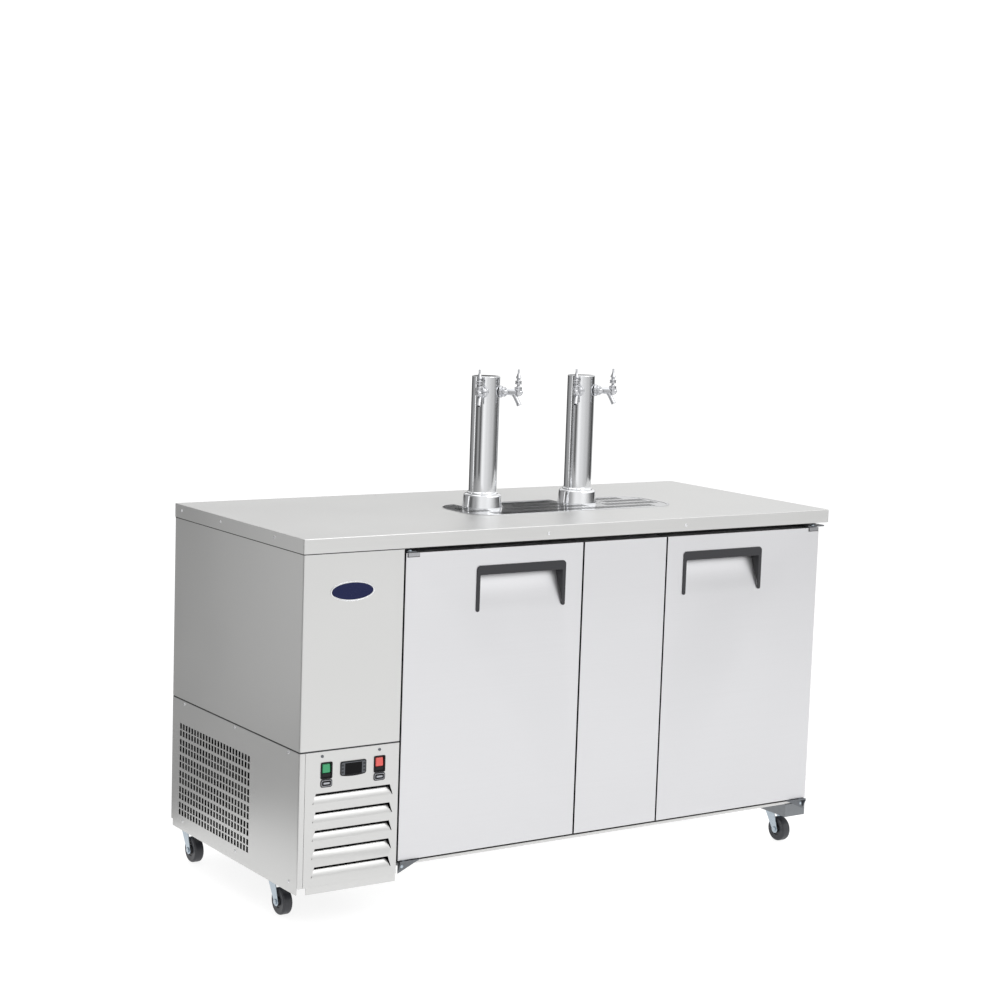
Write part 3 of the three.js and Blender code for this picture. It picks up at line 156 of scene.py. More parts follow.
class CoolerSizes(bpy.types.PropertyGroup):
    sheet_edge: length("Sheet edge", "Rounding of a cut sheet's edge", 0.5)
    counter_corner: length("Counter corner", "Rounding of the counter's upright corners", 4)
    counter_edge: length("Counter edge", "Rounding where the counter's top folds into its rim", 2.2)
    skirt_drop: length("Skirt drop", "How far the counter's rim hangs below its underside", 6)
    skirt_wall: length("Skirt wall", "Thickness of the hanging rim", 1.85)
    tray_corner: length("Tray corner", "Radius of the drip tray's ends", 70)
    tray_rim: length("Tray rim", "Width of the drip tray's rim on the counter", 7)
    tray_wall: length("Tray wall", "Sheet of the drip tray", 1.5)
    tray_ledge: length("Tray ledge", "Ledge that carries the grate", 5)
    tray_notch: length("Tray notch", "Radius of the tray's bay round a tower", 66.5)
    slot_width: length("Grate slot width", "Width of a slot in the drip grate", 7)
    slot_length: length("Grate slot length", "Length of a slot in the drip grate", 38)
    slot_pitch: length("Grate slot pitch", "Spacing of the slots along the drip grate", 12.5)
    grille_slot: length("Grille slot width", "Opening of each slot in the side grille", 11.2)
    grille_tall: length("Grille slot height", "Height of each slot in the side grille", 16.4)
    grille_pitch: length("Grille pitch", "From one slot of the side grille to the next", 18)
    grille_twin: length("Grille twin pitch", "From the upper row of a pair to its lower row", 20)
    grille_pair: length("Grille pair pitch", "From one pair of rows to the next", 45)
    grille_front: length("Grille from front", "From the panel's front to the first slot's middle", 277.75)
    grille_top: length("Grille from top", "From the panel's top to the first slot's middle", 74)
    flange_height: length("Tower foot", "Height of a tower's thick foot", 38)
    tower_radius: length("Tower radius", "Radius of a tower's tube", 40)
    door_edge: length("Door edge", "Rounding of a door's folded edge", 2)
    pull_bar: length("Pull bar", "Height of the bar across a door pull", 25)
    pull_leg: length("Pull leg", "Width of a leg of a door pull", 11)
    pull_corner: length("Pull corner", "Rounding of a door pull's upper corners", 11)
    screw_head: length("Screw head", "Radius of a panel screw's head", 4.2)
    badge_width: length("Badge width", "Width of the blank oval badge", 128)
    badge_height: length("Badge height", "Height of the blank oval badge", 52)
    label_width: length("Label width", "Width of a blank label plate below a switch", 34)
    label_height: length("Label height", "Height of a blank label plate below a switch", 21)
    grain: length("Grain spacing", "Spacing of the sheets' brushing, drawn coarser than real to show", 1.6)


class CoolerColours(bpy.types.PropertyGroup):
    stainless: colour("Stainless sheet", "Brushed sheet of the counter and the skins", "#D2D2D1")
    door: colour("Door sheet", "Brushed sheet of the doors and the centre panel", "#DADADC")
    polished: colour("Polished steel", "Towers, drip tray and screws", "#E4E5E7")
    chrome: colour("Chrome", "Taps and levers", "#C2C3C6")
    trim: colour("Pull trim", "Moulded trim of the door pulls", "#323235")
    # The black plastic colour also paints the shade in the gaps beside the doors and the centre panel, on
    # their upright sides
    black_plastic: colour("Black plastic", "Switch frames and label plates", "#0C0C0E")
    controller: colour("Controller front", "Moulded front of the controller", "#4C4F54")
    green_lens: colour("Green lens", "Rocker of the power switch", "#2C8C5C")
    red_lens: colour("Red lens", "Rocker of the light switch", "#C8504A")
    screen: colour("Screen", "Tinted window of the controller", "#0A0A0C")
    zinc: colour("Zinc", "Plated caster forks, bolts and pins", "#BCC7D0")
    bracket: colour("Bracket", "Dark plated hinge brackets and blued screws", "#74777B")
    tyre: colour("Tyre", "Caster tyres", "#2F3035")
    hub: colour("Hub", "Caster hubs, keys, fans and the shroud of the cold box", "#141417")
    # The seal colour also paints the shadow lines under the counter's rim and in the side seam, and the
    # shadow outline round each hinge bush plate
    seal: colour("Seal", "Door gaskets, foam strips and hinge pads", "#2B2B2D")
    liner: colour("Liner", "Inside of the cabinet", "#D8DADB")
    galvanised: colour("Galvanised", "Right channel, bulkhead and back panel", "#85888B")
    # The black enamel colour also paints the shade inside the machine bay, on the bay's sheet and the machine
    # base
    enamel: colour("Black enamel", "Door frame, bay lining, compressor and condenser", "#0B0B0C")
    fins: colour("Fins", "Coil fins", "#B9BCBE")
    badge: colour("Badge", "Enamelled face of the blank badge", "#0A1440")
    label: colour("Label", "Blank field of the label plates", "#A9ABB0")
    floor: colour("Floor", "Studio floor", "#8C8C8C")


def sizes():
    return bpy.context.scene.cooler_sizes


def colours():
    return bpy.context.scene.cooler_colours


# Materials

METAL = 1.0
PLASTIC = 0.0
BRUSH_LENGTH = 4.0
WEAR = 0.25
BRUSHED = (0.34, 0.44, 0.08, 0.1, METAL)
SHEEN = "Specular IOR Level"
LIT = {"Emission Strength": 0.2, "Coat Weight": 1.0}
LIT_FROM_BELOW = {"Emission Color": (1, 1, 1, 1), "Emission Strength": 0.86}

# Each finish: its colour, the darkest and lightest share of it, how often its pattern changes per metre or
# the axis of its brushing, its least and most roughness, the strength of its relief and the depth in mm, how
# metallic it is, and what else is fixed
FINISHES = {
    # Brushed stainless: fine lines along one axis, which blur its reflections across them
    "brushed_stainless_counter": ("stainless", 0.95, 1.04, "X", *BRUSHED),
    "brushed_stainless_skin": ("stainless", 0.95, 1.04, "Y", *BRUSHED),
    "brushed_stainless_front": ("stainless", 0.95, 1.04, "X", *BRUSHED),
    "brushed_stainless_door": ("door", 0.95, 1.04, "X", *BRUSHED),
    # Mirror polished stainless: almost clear reflections with faint rub marks round the tube
    "mirror_polished_stainless": ("polished", 0.97, 1.0, (60, 60, 900), 0.07, 0.13, 0.03, 0.05, METAL),
    # Chromed brass of the taps, levers and bush plates: smoother than the towers
    "chromed_brass": ("chrome", 0.98, 1.02, 300, 0.05, 0.1, 0.02, 0.05, METAL),
    # Zinc plating: bluish, with a soft spangle and patches of duller grey
    "zinc_plated_steel": ("zinc", 0.82, 1.06, 180, 0.28, 0.46, 0.12, 0.1, METAL),
    # Dark plated steel of the hinge brackets
    "dark_plated_steel": ("bracket", 0.8, 1.1, 260, 0.3, 0.5, 0.15, 0.1, METAL),
    # Blued steel of the screws in the control panel: dark, with a soft shine
    "blued_steel": ("bracket", 0.85, 1.15, 400, 0.3, 0.45, 0.1, 0.05, METAL),
    # Hot-dip galvanised sheet: grey with a faint crystal spangle
    "hot_dip_galvanised": ("galvanised", 0.92, 1.05, 45, 0.36, 0.5, 0.05, 0.1, METAL),
    # Moulded ABS of the pulls: charcoal with a fine spark-eroded grain
    "moulded_abs_trim": ("trim", 0.86, 1.12, 900, 0.42, 0.56, 0.25, 0.12, PLASTIC, {SHEEN: 0.3}),
    # Moulded black ABS of the switch frames and the controller: satin, with a fine grain. On the upright
    # sides of the doors and the centre panel the same finish is painted shade for the gaps between them
    "black_abs_and_gap_shade": ("black_plastic", 0.8, 1.2, 1100, 0.3, 0.42, 0.15, 0.08, PLASTIC, {SHEEN: 0.25}),
    # Moulded grey ABS of the controller's front: satin, with a fine grain
    "moulded_grey_abs": ("controller", 0.85, 1.15, 1100, 0.3, 0.42, 0.15, 0.08, PLASTIC),
    # Tinted polycarbonate of a rocker, lit from inside by its neon, so it glows a little
    "green_polycarbonate": ("green_lens", 0.9, 1.1, 500, 0.08, 0.16, 0.05, 0.05, PLASTIC, LIT),
    "red_polycarbonate": ("red_lens", 0.9, 1.1, 500, 0.08, 0.16, 0.05, 0.05, PLASTIC, LIT),
    # Smoked acrylic window of the controller: near black and glossy
    "smoked_acrylic": ("screen", 0.9, 1.1, 400, 0.05, 0.1, 0.02, 0.03, PLASTIC, {SHEEN: 0.1}),
    # Grey-black thermoplastic rubber of the tyres: a dull skin with moulding marks
    "thermoplastic_rubber": ("tyre", 0.8, 1.15, 500, 0.34, 0.52, 0.25, 0.15, PLASTIC),
    # Moulded polypropylene of the hubs, keys and fans
    "moulded_polypropylene": ("hub", 0.85, 1.2, 700, 0.3, 0.44, 0.15, 0.1, PLASTIC),
    # Flexible vinyl of the gaskets, strips and pads: matt with a soft sheen. On the strips under the
    # counter's rim and in the side seam, and on the pads round the hinge bush plates, it is painted shadow
    "vinyl_and_painted_shadow": ("seal", 0.85, 1.15, 600, 0.5, 0.66, 0.2, 0.1, PLASTIC),
    # Stucco-embossed aluminium liner: a pebbled relief a few millimetres across
    "stucco_aluminium": ("liner", 0.93, 1.04, 260, 0.36, 0.5, 0.5, 0.5, 0.85),
    # Baked black enamel: deep black with slight orange peel. On the bay's sheet and the machine base it is
    # painted shade for the dark seen into the machine bay
    "black_enamel_and_bay_shade": ("enamel", 0.85, 1.2, 300, 0.32, 0.46, 0.1, 0.1, PLASTIC),
    # Mill-finish aluminium fins, with streaks down each fin
    "mill_aluminium": ("fins", 0.88, 1.06, (700, 700, 12), 0.36, 0.52, 0.15, 0.1, METAL),
    # Stove enamel of the badge's face: smooth and hard
    "stove_enamel": ("badge", 0.92, 1.08, 350, 0.2, 0.3, 0.03, 0.05, PLASTIC, {SHEEN: 0.25}),
    # Blank polyester label with a satin face
    "satin_polyester": ("label", 0.96, 1.02, 800, 0.32, 0.42, 0.05, 0.05, PLASTIC),
    # Opal acrylic floor lit from below: even, pale and matt
    "opal_acrylic": ("floor", 0.995, 1.0, 9, 0.7, 0.8, 0.02, 0.1, PLASTIC, LIT_FROM_BELOW),
}


def add_node(tree, kind, inputs=None, **settings):
    """Adds one node with its settings, and sets or links its inputs."""
    node = tree.nodes.new(kind)
    for name, value in settings.items():
        setattr(node, name, value)
    for name, value in (inputs or {}).items():
        if isinstance(value, bpy.types.NodeSocket):
            tree.links.new(value, node.inputs[name])
        else:
            node.inputs[name].default_value = value
    return node


def map_range(tree, value, start, end, low=0.0, high=1.0, kind="LINEAR"):
    """Carries a value's span from start to end over to the span from low to high."""
    inputs = {"Value": value, "From Min": start, "From Max": end, "To Min": low, "To Max": high}
    return add_node(tree, "ShaderNodeMapRange", inputs, interpolation_type=kind).outputs[0]


def pattern_scale(pattern):
    """How fine a pattern is along X, Y and Z."""
    if isinstance(pattern, str):
        return [BRUSH_LENGTH if axis == pattern else 1 / sizes().grain for axis in "XYZ"]
    return pattern if isinstance(pattern, tuple) else (pattern,) * 3


def finish(name):
    """The material of a finish: colour, gloss and relief follow a noise pattern, a broad one adds wear."""
    material = bpy.data.materials.get(name)
    if material:
        return material
    colour_name, dark, light, pattern, sleek, dull, relief, depth, metallic, *fixed = FINISHES[name]
    value = getattr(colours(), colour_name)
    low, high = (tuple(min(1.0, part * share) for part in value) + (1.0,) for share in (dark, light))
    material = bpy.data.materials.new(name)
    material.use_nodes = True
    tree = material.node_tree
    tree.nodes.clear()

    def noise(place, scale, detail, rough):
        inputs = {"Vector": place, "Scale": scale, "Detail": detail, "Roughness": rough}
        return add_node(tree, "ShaderNodeTexNoise", inputs).outputs["Fac"]

    place = add_node(tree, "ShaderNodeTexCoord").outputs["Object"]
    stretch = add_node(tree, "ShaderNodeMapping", {"Vector": place, "Scale": pattern_scale(pattern)})
    grain = noise(stretch.outputs["Vector"], 1.0, 3.0, 0.6)
    wear = noise(place, 3.0, 2.0, 0.5)
    blend = add_node(tree, "ShaderNodeMath", {0: grain, 1: wear, 2: WEAR}, operation="MULTIPLY_ADD")
    blend = blend.outputs[0]
    tint = add_node(tree, "ShaderNodeMix", {0: blend, 6: low, 7: high}, data_type="RGBA")
    bump = add_node(tree, "ShaderNodeBump", {"Height": grain, "Strength": relief, "Distance": depth * MM})
    inputs = {
        "Base Color": tint.outputs[2],
        "Roughness": map_range(tree, blend, 0.2, 0.8, sleek, dull),
        "Normal": bump.outputs["Normal"],
        "Metallic": metallic,
    }
    for settings in fixed:
        if "Emission Strength" in settings:
            inputs["Emission Color"] = (*value, 1.0)
        inputs.update(settings)
    shader = add_node(tree, "ShaderNodeBsdfPrincipled", inputs)
    add_node(tree, "ShaderNodeOutputMaterial", {"Surface": shader.outputs["BSDF"]})
    return material


# Modelling by hand


def rest():
    """Leaves edit mode with nothing selected."""
    if bpy.context.object and bpy.context.object.mode != "OBJECT":
        bpy.ops.object.mode_set(mode="OBJECT")
    bpy.ops.object.select_all(action="DESELECT")


def only(piece):
    """Makes the piece the active object and the only selected one."""
    rest()
    piece.select_set(True)
    bpy.context.view_layer.objects.active = piece


def open_all(piece):
    """Opens the piece in edit mode with all of it selected."""
    only(piece)
    bpy.ops.object.mode_set(mode="EDIT")
    bpy.ops.mesh.select_all(action="SELECT")


def face_out():
    """Turns all faces of the piece in edit mode outwards, and leaves edit mode."""
    bpy.ops.mesh.select_all(action="SELECT")
    bpy.ops.mesh.normals_make_consistent(inside=False)
    rest()


def drop(*pieces):
    """Clears pieces away that have done their work."""
    for piece in pieces:
        bpy.data.objects.remove(piece)


def settle(piece, **place):
    """Sets the piece's place, turn or scale, and puts all three into its mesh."""
    for name, value in place.items():
        setattr(piece, name, value)
    only(piece)
    bpy.ops.object.transform_apply(location=True, rotation=True, scale=True)
    return piece


def named(name):
    """The object that was just added, under its own name."""
    bpy.context.object.name = name
    return bpy.context.object


def block(name, low, high):
    """A box between two corners, the start of a piece."""
    rest()
    centre = [(a + b) / 2 for a, b in zip(low, high)]
    bpy.ops.mesh.primitive_cube_add(size=1, location=centre)
    return settle(named(name), scale=[b - a for a, b in zip(low, high)])


def rod(name, centre, radius, depth, axis="Z", sides=32):
    """A round bar, the start of a piece."""
    rest()
    turn = {"X": (0, QUARTER, 0), "Y": (QUARTER, 0, 0), "Z": (0, 0, 0)}[axis]
    bpy.ops.mesh.primitive_cylinder_add(
        vertices=sides, radius=radius, depth=depth, location=centre, rotation=turn
    )
    return settle(named(name))


def near(a, b, room=0.05 * MM):
    """Whether two measures are the same but for a little room."""
    return abs(a - b) < room


def along(edge, axis):
    """Whether an edge runs along an axis."""
    step = edge.verts[1].co - edge.verts[0].co
    return abs(step[axis]) > RUNS_ALONG * step.length


def middle(part):
    """The middle of a corner, an edge or a face."""
    corners = part.verts if hasattr(part, "verts") else [part]
    return sum((corner.co for corner in corners), Vector()) / len(corners)


def at(axis=None, **places):
    """A test that picks what runs along an axis and has its middle at the given x, y or z."""

    def test(part):
        spot = middle(part)
        runs = axis is None or along(part, axis)
        return runs and all(near(getattr(spot, name), place) for name, place in places.items())

    return test


def pick(piece, kind, test):
    """Selects, in edit mode, the corners, edges or faces that the test picks by their place or normal."""
    if piece.mode != "EDIT":
        only(piece)
        bpy.ops.object.mode_set(mode="EDIT")
    bpy.ops.mesh.select_mode(type=kind)
    bpy.ops.mesh.select_all(action="DESELECT")
    shape = bmesh.from_edit_mesh(piece.data)
    for part in {"VERT": shape.verts, "EDGE": shape.edges, "FACE": shape.faces}[kind]:
        if test(part):
            part.select_set(True)
    shape.select_flush_mode()
    bmesh.update_edit_mesh(piece.data)


def faces_front(face):
    """Whether a face looks to the front."""
    return face.normal.y < -LOOKS_ALONG


def extrude(step):
    """Draws what is picked out into new faces, by a step."""
    bpy.ops.mesh.extrude_region_move(TRANSFORM_OT_translate={"value": step})


def round_edges(piece, test, radius, steps=4):
    """Rounds the edges that the test picks."""
    pick(piece, "EDGE", test)
    bpy.ops.mesh.bevel(offset=radius, segments=steps, affect="EDGES")
    rest()
    return piece


def move(piece, kind, test, step):
    """Moves the parts that the test picks."""
    pick(piece, kind, test)
    bpy.ops.transform.translate(value=step)
    rest()
    return piece


def modify(piece, kind, **settings):
    """Adds one modifier with its settings and applies it."""
    only(piece)
    modifier = piece.modifiers.new(kind, kind)
    for name, value in settings.items():
        setattr(modifier, name, value)
    bpy.ops.object.modifier_apply(modifier=modifier.name)
    return piece


def carve(piece, tool, operation="DIFFERENCE"):
    """Cuts a tool out of a piece, or joins it to the piece, and clears the tool away."""
    modify(piece, "BOOLEAN", operation=operation, solver="EXACT", object=tool)
    drop(tool)
    return piece


def join(name, *pieces):
    """Joins loose pieces into one object."""
    rest()
    for piece in pieces:
        piece.select_set(True)
    bpy.context.view_layer.objects.active = pieces[0]
    bpy.ops.object.join()
    return named(name)


def smooth(piece, angle=32):
    """Smooth shading below an angle, with flat faces kept flat."""
    only(piece)
    bpy.ops.object.shade_smooth_by_angle(angle=math.radians(angle))
    return modify(piece, "WEIGHTED_NORMAL", keep_sharp=True)


def soften(piece, radius, steps=2, angle=40):
    """Rounds every edge sharper than an angle."""
    sharp = math.radians(angle)
    modify(piece, "BEVEL", width=radius, segments=steps, limit_method="ANGLE", angle_limit=sharp)
    return smooth(piece, 50)


def twin(piece, name, step=(0, 0, 0), turn=0.0):
    """A copy with its own mesh, turned about the upright axis through the origin and then moved."""
    only(piece)
    bpy.ops.object.duplicate(linked=False)
    return settle(named(name), rotation_euler=(0, 0, turn), location=step)


def turned(name, profile, steps=48):
    """Spins a profile, pairs of radius and height in millimetres, about the upright axis."""
    rest()
    bpy.ops.mesh.primitive_plane_add(size=1 * MM)
    piece = named(name)
    open_all(piece)
    bpy.ops.mesh.select_mode(type="VERT")
    bpy.ops.mesh.select_all(action="SELECT")
    bpy.ops.mesh.merge(type="CENTER")
    points = [(radius * MM, height * MM) for radius, height in profile]
    bpy.ops.transform.translate(value=(points[0][0], 0, points[0][1]))
    for (radius, height), (next_radius, next_height) in zip(points, points[1:]):
        extrude((next_radius - radius, 0, next_height - height))
    bpy.ops.mesh.select_all(action="SELECT")
    bpy.ops.mesh.spin(steps=steps, angle=math.tau, center=(0, 0, 0), axis=(0, 0, 1))
    bpy.ops.mesh.select_all(action="SELECT")
    bpy.ops.mesh.remove_doubles(threshold=1e-6)
    face_out()
    return piece


def bow(radius, height, size, start, end, steps=4):
    """Points on an arc round a centre, from one angle to another, for a turned profile."""
    points = []
    for index in range(steps + 1):
        turn = math.radians(start + (end - start) * index / steps)
        points.append((radius + size * math.cos(turn), height + size * math.sin(turn)))
    return points


def lay(piece, axis):
    """Lays an upright turned piece along X or Y."""
    return settle(piece, rotation_euler=(0, QUARTER, 0) if axis == "X" else (QUARTER, 0, 0))


def sheet_copy(node, name):
    """A loose copy of a packed sheet with its corners merged and its flat faces made whole."""
    only(frame["nodes"][node])
    bpy.ops.object.duplicate(linked=False)
    copy = named(name)
    copy.parent = None
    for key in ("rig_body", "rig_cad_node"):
        del copy[key]
    open_all(copy)
    bpy.ops.mesh.remove_doubles(threshold=1e-6)
    bpy.ops.mesh.dissolve_limited(angle_limit=math.radians(0.5))
    rest()
    return copy


def dress(piece, finish_name, slot, *nodes, body=None):
    """Gives a finished piece its material, its body and the nodes that it stands for.

    A piece rides on the body of its node, and one that stands for no node rides on the cabinet unless told.
    """
    piece.data.materials.clear()
    piece.data.materials.append(finish(finish_name))
    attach(piece, body or (body_of(nodes[0]) if nodes else "cabinet"))
    if nodes:
        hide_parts(*nodes)
    return piece


def paint(finish_name, *nodes):
    """Gives packed nodes their material."""
    for node in nodes:
        for slot in frame["nodes"][node].material_slots:
            slot.material = finish(finish_name)


# The counter and its drip tray


def tray_plate(name, inset, low, high):
    """The tray's plan as a slab: round ended, with a bay open to the back round each tower."""
    size = sizes()
    rim_low, rim_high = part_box("drip_tray")
    edge = size.tray_rim + inset
    slab_high = (rim_high.x - edge, rim_high.y - edge, high)
    slab = block(name, (rim_low.x + edge, rim_low.y + edge, low), slab_high)
    round_edges(slab, at(Z), size.tray_corner - inset, 16)
    notch = size.tray_notch + inset
    back = rim_high.y + size.tray_rim + PAST
    for node in TOWERS:
        x, y, _ = middle_of(node)
        tool = block("bay", (x - notch, y - notch, low - PAST), (x + notch, back, high + PAST))
        round_edges(tool, lambda e: along(e, Z) and e.verts[0].co.y < y, notch * 0.9995, 24)
        carve(slab, tool)
    return slab


def make_counter():
    size = sizes()
    low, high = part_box("counter_top")
    slab = block("counter_sheet", (low.x, low.y, low.z - size.skirt_drop), high)
    round_edges(slab, at(Z), size.counter_corner, 6)
    round_edges(slab, at(z=high.z), size.counter_edge)
    wall = size.skirt_wall
    hollow_low = (low.x + wall, low.y + wall, low.z - FAR_PAST)
    carve(slab, block("under", hollow_low, (high.x - wall, high.y - wall, low.z)))
    gap = 0.8 * MM
    carve(slab, tray_plate("well", -gap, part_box("drip_tray")[0].z - gap, high.z + 5 * MM))
    for node in TOWERS:
        x, y, _ = middle_of(node)
        carve(slab, rod("line_hole", (x, y, high.z), 25 * MM, 2 * FAR_PAST))
    dress(smooth(slab, 40), "brushed_stainless_counter", "stainless_skin", "counter_top")


def make_drip_tray():
    size = sizes()
    low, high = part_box("drip_tray")
    grate_low, grate_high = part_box("tray_grate")
    wall = size.tray_wall
    dish = tray_plate("drip_dish", -size.tray_rim, high.z - wall, high.z)
    carve(dish, tray_plate("shell", 0, low.z, high.z), "UNION")
    carve(dish, tray_plate("mouth", wall, grate_low.z - 0.3 * MM, high.z + 5 * MM))
    carve(dish, tray_plate("hollow", wall + size.tray_ledge, low.z + wall, high.z))
    dress(soften(dish, 0.6 * MM), "mirror_polished_stainless", "stainless_skin", "drip_tray")

    grate = tray_plate("slotted_grate", wall + 1 * MM, grate_low.z, grate_high.z)
    carve(grate, slot_cutter(grate_low, grate_high))
    dress(soften(grate, 1.2 * MM), "mirror_polished_stainless", "stainless_skin", "tray_grate")


def slot_cutter(low, high):
    """All the grate's slots as one loose tool, left out near the towers and the round ends."""
    size = sizes()
    rows = 4
    margin = 6 * MM
    row_pitch = (high.y - low.y) / rows
    centre = (low + high) / 2
    columns = int((high.x - low.x) / 2 / size.slot_pitch)
    half_width, half_length = size.slot_width / 2, size.slot_length / 2
    towers = [middle_of(node) for node in TOWERS]
    corner = size.tray_corner

    def inside(x, y):
        for tower in towers:
            if Vector((x - tower.x, min(0, y - tower.y))).length < size.tray_notch + margin:
                return False
        across = max(abs(x - centre.x) - ((high.x - low.x) / 2 - corner), 0)
        deep = max(abs(y - centre.y) - ((high.y - low.y) / 2 - corner), 0)
        return math.hypot(across, deep) < corner - margin

    spots = []
    for row in range(rows):
        y = low.y + (row + 0.5) * row_pitch
        for column in range(-columns, columns + 1):
            x = centre.x + column * size.slot_pitch
            corners = [(x + sx * half_width, y + sy * half_length) for sx in (-1, 1) for sy in (-1, 1)]
            if all(inside(*corner_place) for corner_place in corners):
                spots.append((x, y))
    tool = block("slots", (-half_width, -half_length, low.z - PAST), (half_width, half_length, high.z + PAST))
    open_all(tool)
    x, y = spots[0]
    bpy.ops.transform.translate(value=(x, y, 0))
    for next_x, next_y in spots[1:]:
        bpy.ops.mesh.duplicate_move(TRANSFORM_OT_translate={"value": (next_x - x, next_y - y, 0)})
        x, y = next_x, next_y
    rest()
    return tool


# Skins of the machine bay


def grille_cutter():
    """All the slots of the side grille as one tool: six pairs of rows, twenty-four slots to a row."""
    size = sizes()
    low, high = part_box("side_grille")
    y, z = low.y + size.grille_front, high.z - size.grille_top
    half_width, half_tall, reach = size.grille_slot / 2, size.grille_tall / 2, 5 * MM
    first = (low.x - reach, y - half_width, z - half_tall), (low.x + reach, y + half_width, z + half_tall)
    tool = block("grille_slots", *first)
    rows = (24, (0, size.grille_pitch, 0)), (2, (0, 0, -size.grille_twin)), (6, (0, 0, -size.grille_pair))
    for count, step in rows:
        settings = {"use_relative_offset": False, "use_constant_offset": True}
        modify(tool, "ARRAY", count=count, constant_offset_displace=step, **settings)
    return tool


def make_bay_skins():
    size = sizes()
    cut_edge = 0.3 * MM
    upper = sheet_copy("upper_skin", "upper_bay_skin")
    dress(soften(upper, size.sheet_edge, 1), "brushed_stainless_skin", "stainless_skin", "upper_skin")
    lower = carve(sheet_copy("side_grille", "slotted_side_skin"), grille_cutter())
    dress(soften(lower, cut_edge, 1), "brushed_stainless_skin", "stainless_skin", "side_grille")
    panel = sheet_copy("louver_panel", "louvered_front_panel")
    dress(soften(panel, cut_edge, 1), "brushed_stainless_front", "stainless_skin", "louver_panel")
    # The machine base is painted black as painted shade, for the dark seen through the louvers and the grille
    paint("black_enamel_and_bay_shade", "machine_base")
    make_back_panel()
    make_foam_strips()
    make_bay_lining()


def wedge(name, low, high, lip):
    """A block whose top slopes down to its front edge, with a lip of the given height left there."""
    return move(block(name, low, high), "EDGE", at(X, y=low[1], z=high[2]), (0, 0, low[2] + lip - high[2]))


def make_back_panel():
    """The back panel with a small hood pressed inwards over each vent, which bars a straight view in."""
    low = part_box("bay_back_panel")[0]
    back = sheet_copy("bay_back_panel", "vented_back_panel")
    width, tall, deep, wall, lip = 98 * MM, 10 * MM, 9 * MM, 1.2 * MM, 1.5 * MM
    side = 0.8 * MM
    hood = wedge("hood", (0, -deep, 0), (width, 0, tall), lip)
    inner = wedge("inner", (side, wall - deep, -1 * MM), (width - side, 1 * MM, tall - wall), lip)
    smooth(carve(hood, inner))
    hoods = []
    columns, first_row, rows, pitch = (35, 155), 58, 6, 24
    for z in range(first_row, first_row + rows * pitch, pitch):
        for x in columns:
            hoods.append(twin(hood, "hood", (low.x + x * MM, low.y, low.z + z * MM)))
    drop(hood)
    whole = join("vented_back_panel", back, *hoods)
    dress(whole, "hot_dip_galvanised", "galvanised_sheet", "bay_back_panel")


def make_foam_strips():
    """Dark foam tape along the side and the front: under the counter's rim, and in the seam below."""
    low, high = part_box("upper_skin")
    lower_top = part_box("side_grille")[1].z
    gap = 0.1 * MM
    rim_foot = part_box("counter_top")[0].z - sizes().skirt_drop - gap
    strips = (
        ("rim_shadow_line", rim_foot - 2.6 * MM, rim_foot, -0.5 * MM),
        ("seam_shadow_line", lower_top + gap, low.z - gap, 0.6 * MM),
    )
    for name, foot, top, set_in in strips:
        strip = block(name, (low.x + set_in, low.y + set_in, foot), (high.x - 1 * MM, high.y - 1 * MM, top))
        wall = set_in + 1.6 * MM
        inner_high = (high.x + FAR_PAST, high.y + FAR_PAST, top + FAR_PAST)
        carve(strip, block("inner", (low.x + wall, low.y + wall, foot - FAR_PAST), inner_high))
        # Dark strips that stand in for the shade in these joints: painted shadow lines
        dress(smooth(strip), "vinyl_and_painted_shadow", "seal_rubber")


def make_bay_lining():
    """Sheet that closes the machine bay towards the cabinet, below the cold box."""
    low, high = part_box("louver_panel")
    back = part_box("bay_back_panel")[1].y - 12 * MM
    right = high.x - 0.2 * MM
    sheet_low = (right - 1 * MM, high.y + 0.5 * MM, low.z + 0.2 * MM)
    sheet = block("bay_lining", sheet_low, (right, back, high.z - 0.5 * MM))
    dress(smooth(sheet), "black_enamel_and_bay_shade", "galvanised_sheet")


def make_screws():
    """Pan-head screws with a cross recess: one is modelled and copied to each place."""
    radius = sizes().screw_head / MM
    profile = [(0, 0), (radius, 0), *bow(radius - 1.1, 0.5, 1.1, 0, 60), (radius * 0.4, 1.9), (0, 2)]
    head = turned("screw", profile, 20)
    for turn in (0, QUARTER):
        arm = block("arm", (-2.3 * MM, -0.45 * MM, 0.9 * MM), (2.3 * MM, 0.45 * MM, 4 * MM))
        carve(head, settle(arm, rotation_euler=(0, 0, turn)))
    smooth(head, 40)
    to_front = lay(twin(head, "front_screw"), "Y")
    to_side = settle(lay(twin(head, "side_screw"), "X"), scale=(-1, 1, 1))
    open_all(to_side)
    face_out()

    side_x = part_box("side_grille")[0].x
    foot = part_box("side_grille")[0].z
    front_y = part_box("louver_panel")[0].y
    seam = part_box("upper_skin")[0].z
    counter_low, counter_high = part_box("counter_top")
    rim_z = (counter_low.z + counter_high.z) / 2
    spots = [("panel", to_front, "blued_steel", (x * MM, front_y, seam - 16 * MM)) for x in (-808, -640)]
    polished = "mirror_polished_stainless"
    spots += [("rim", to_front, polished, (x * MM, counter_low.y, rim_z - 5 * MM)) for x in (-132, 337)]
    spots += [("side", to_side, polished, (counter_low.x, y * MM, rim_z)) for y in (330, 91, -217)]
    spots += [("side", to_side, polished, (side_x, y * MM, seam - 11 * MM)) for y in (298, -10, -314)]
    spots += [("side", to_side, polished, (side_x, y * MM, foot + 9 * MM)) for y in (298, -27, -329)]
    for number, (group, model, finish_name, place) in enumerate(spots, 1):
        dress(twin(model, f"{group}_screw_{number}", place), finish_name, "zinc_plate")
    drop(head, to_front, to_side)


# Switches, controller, labels and the blank badge


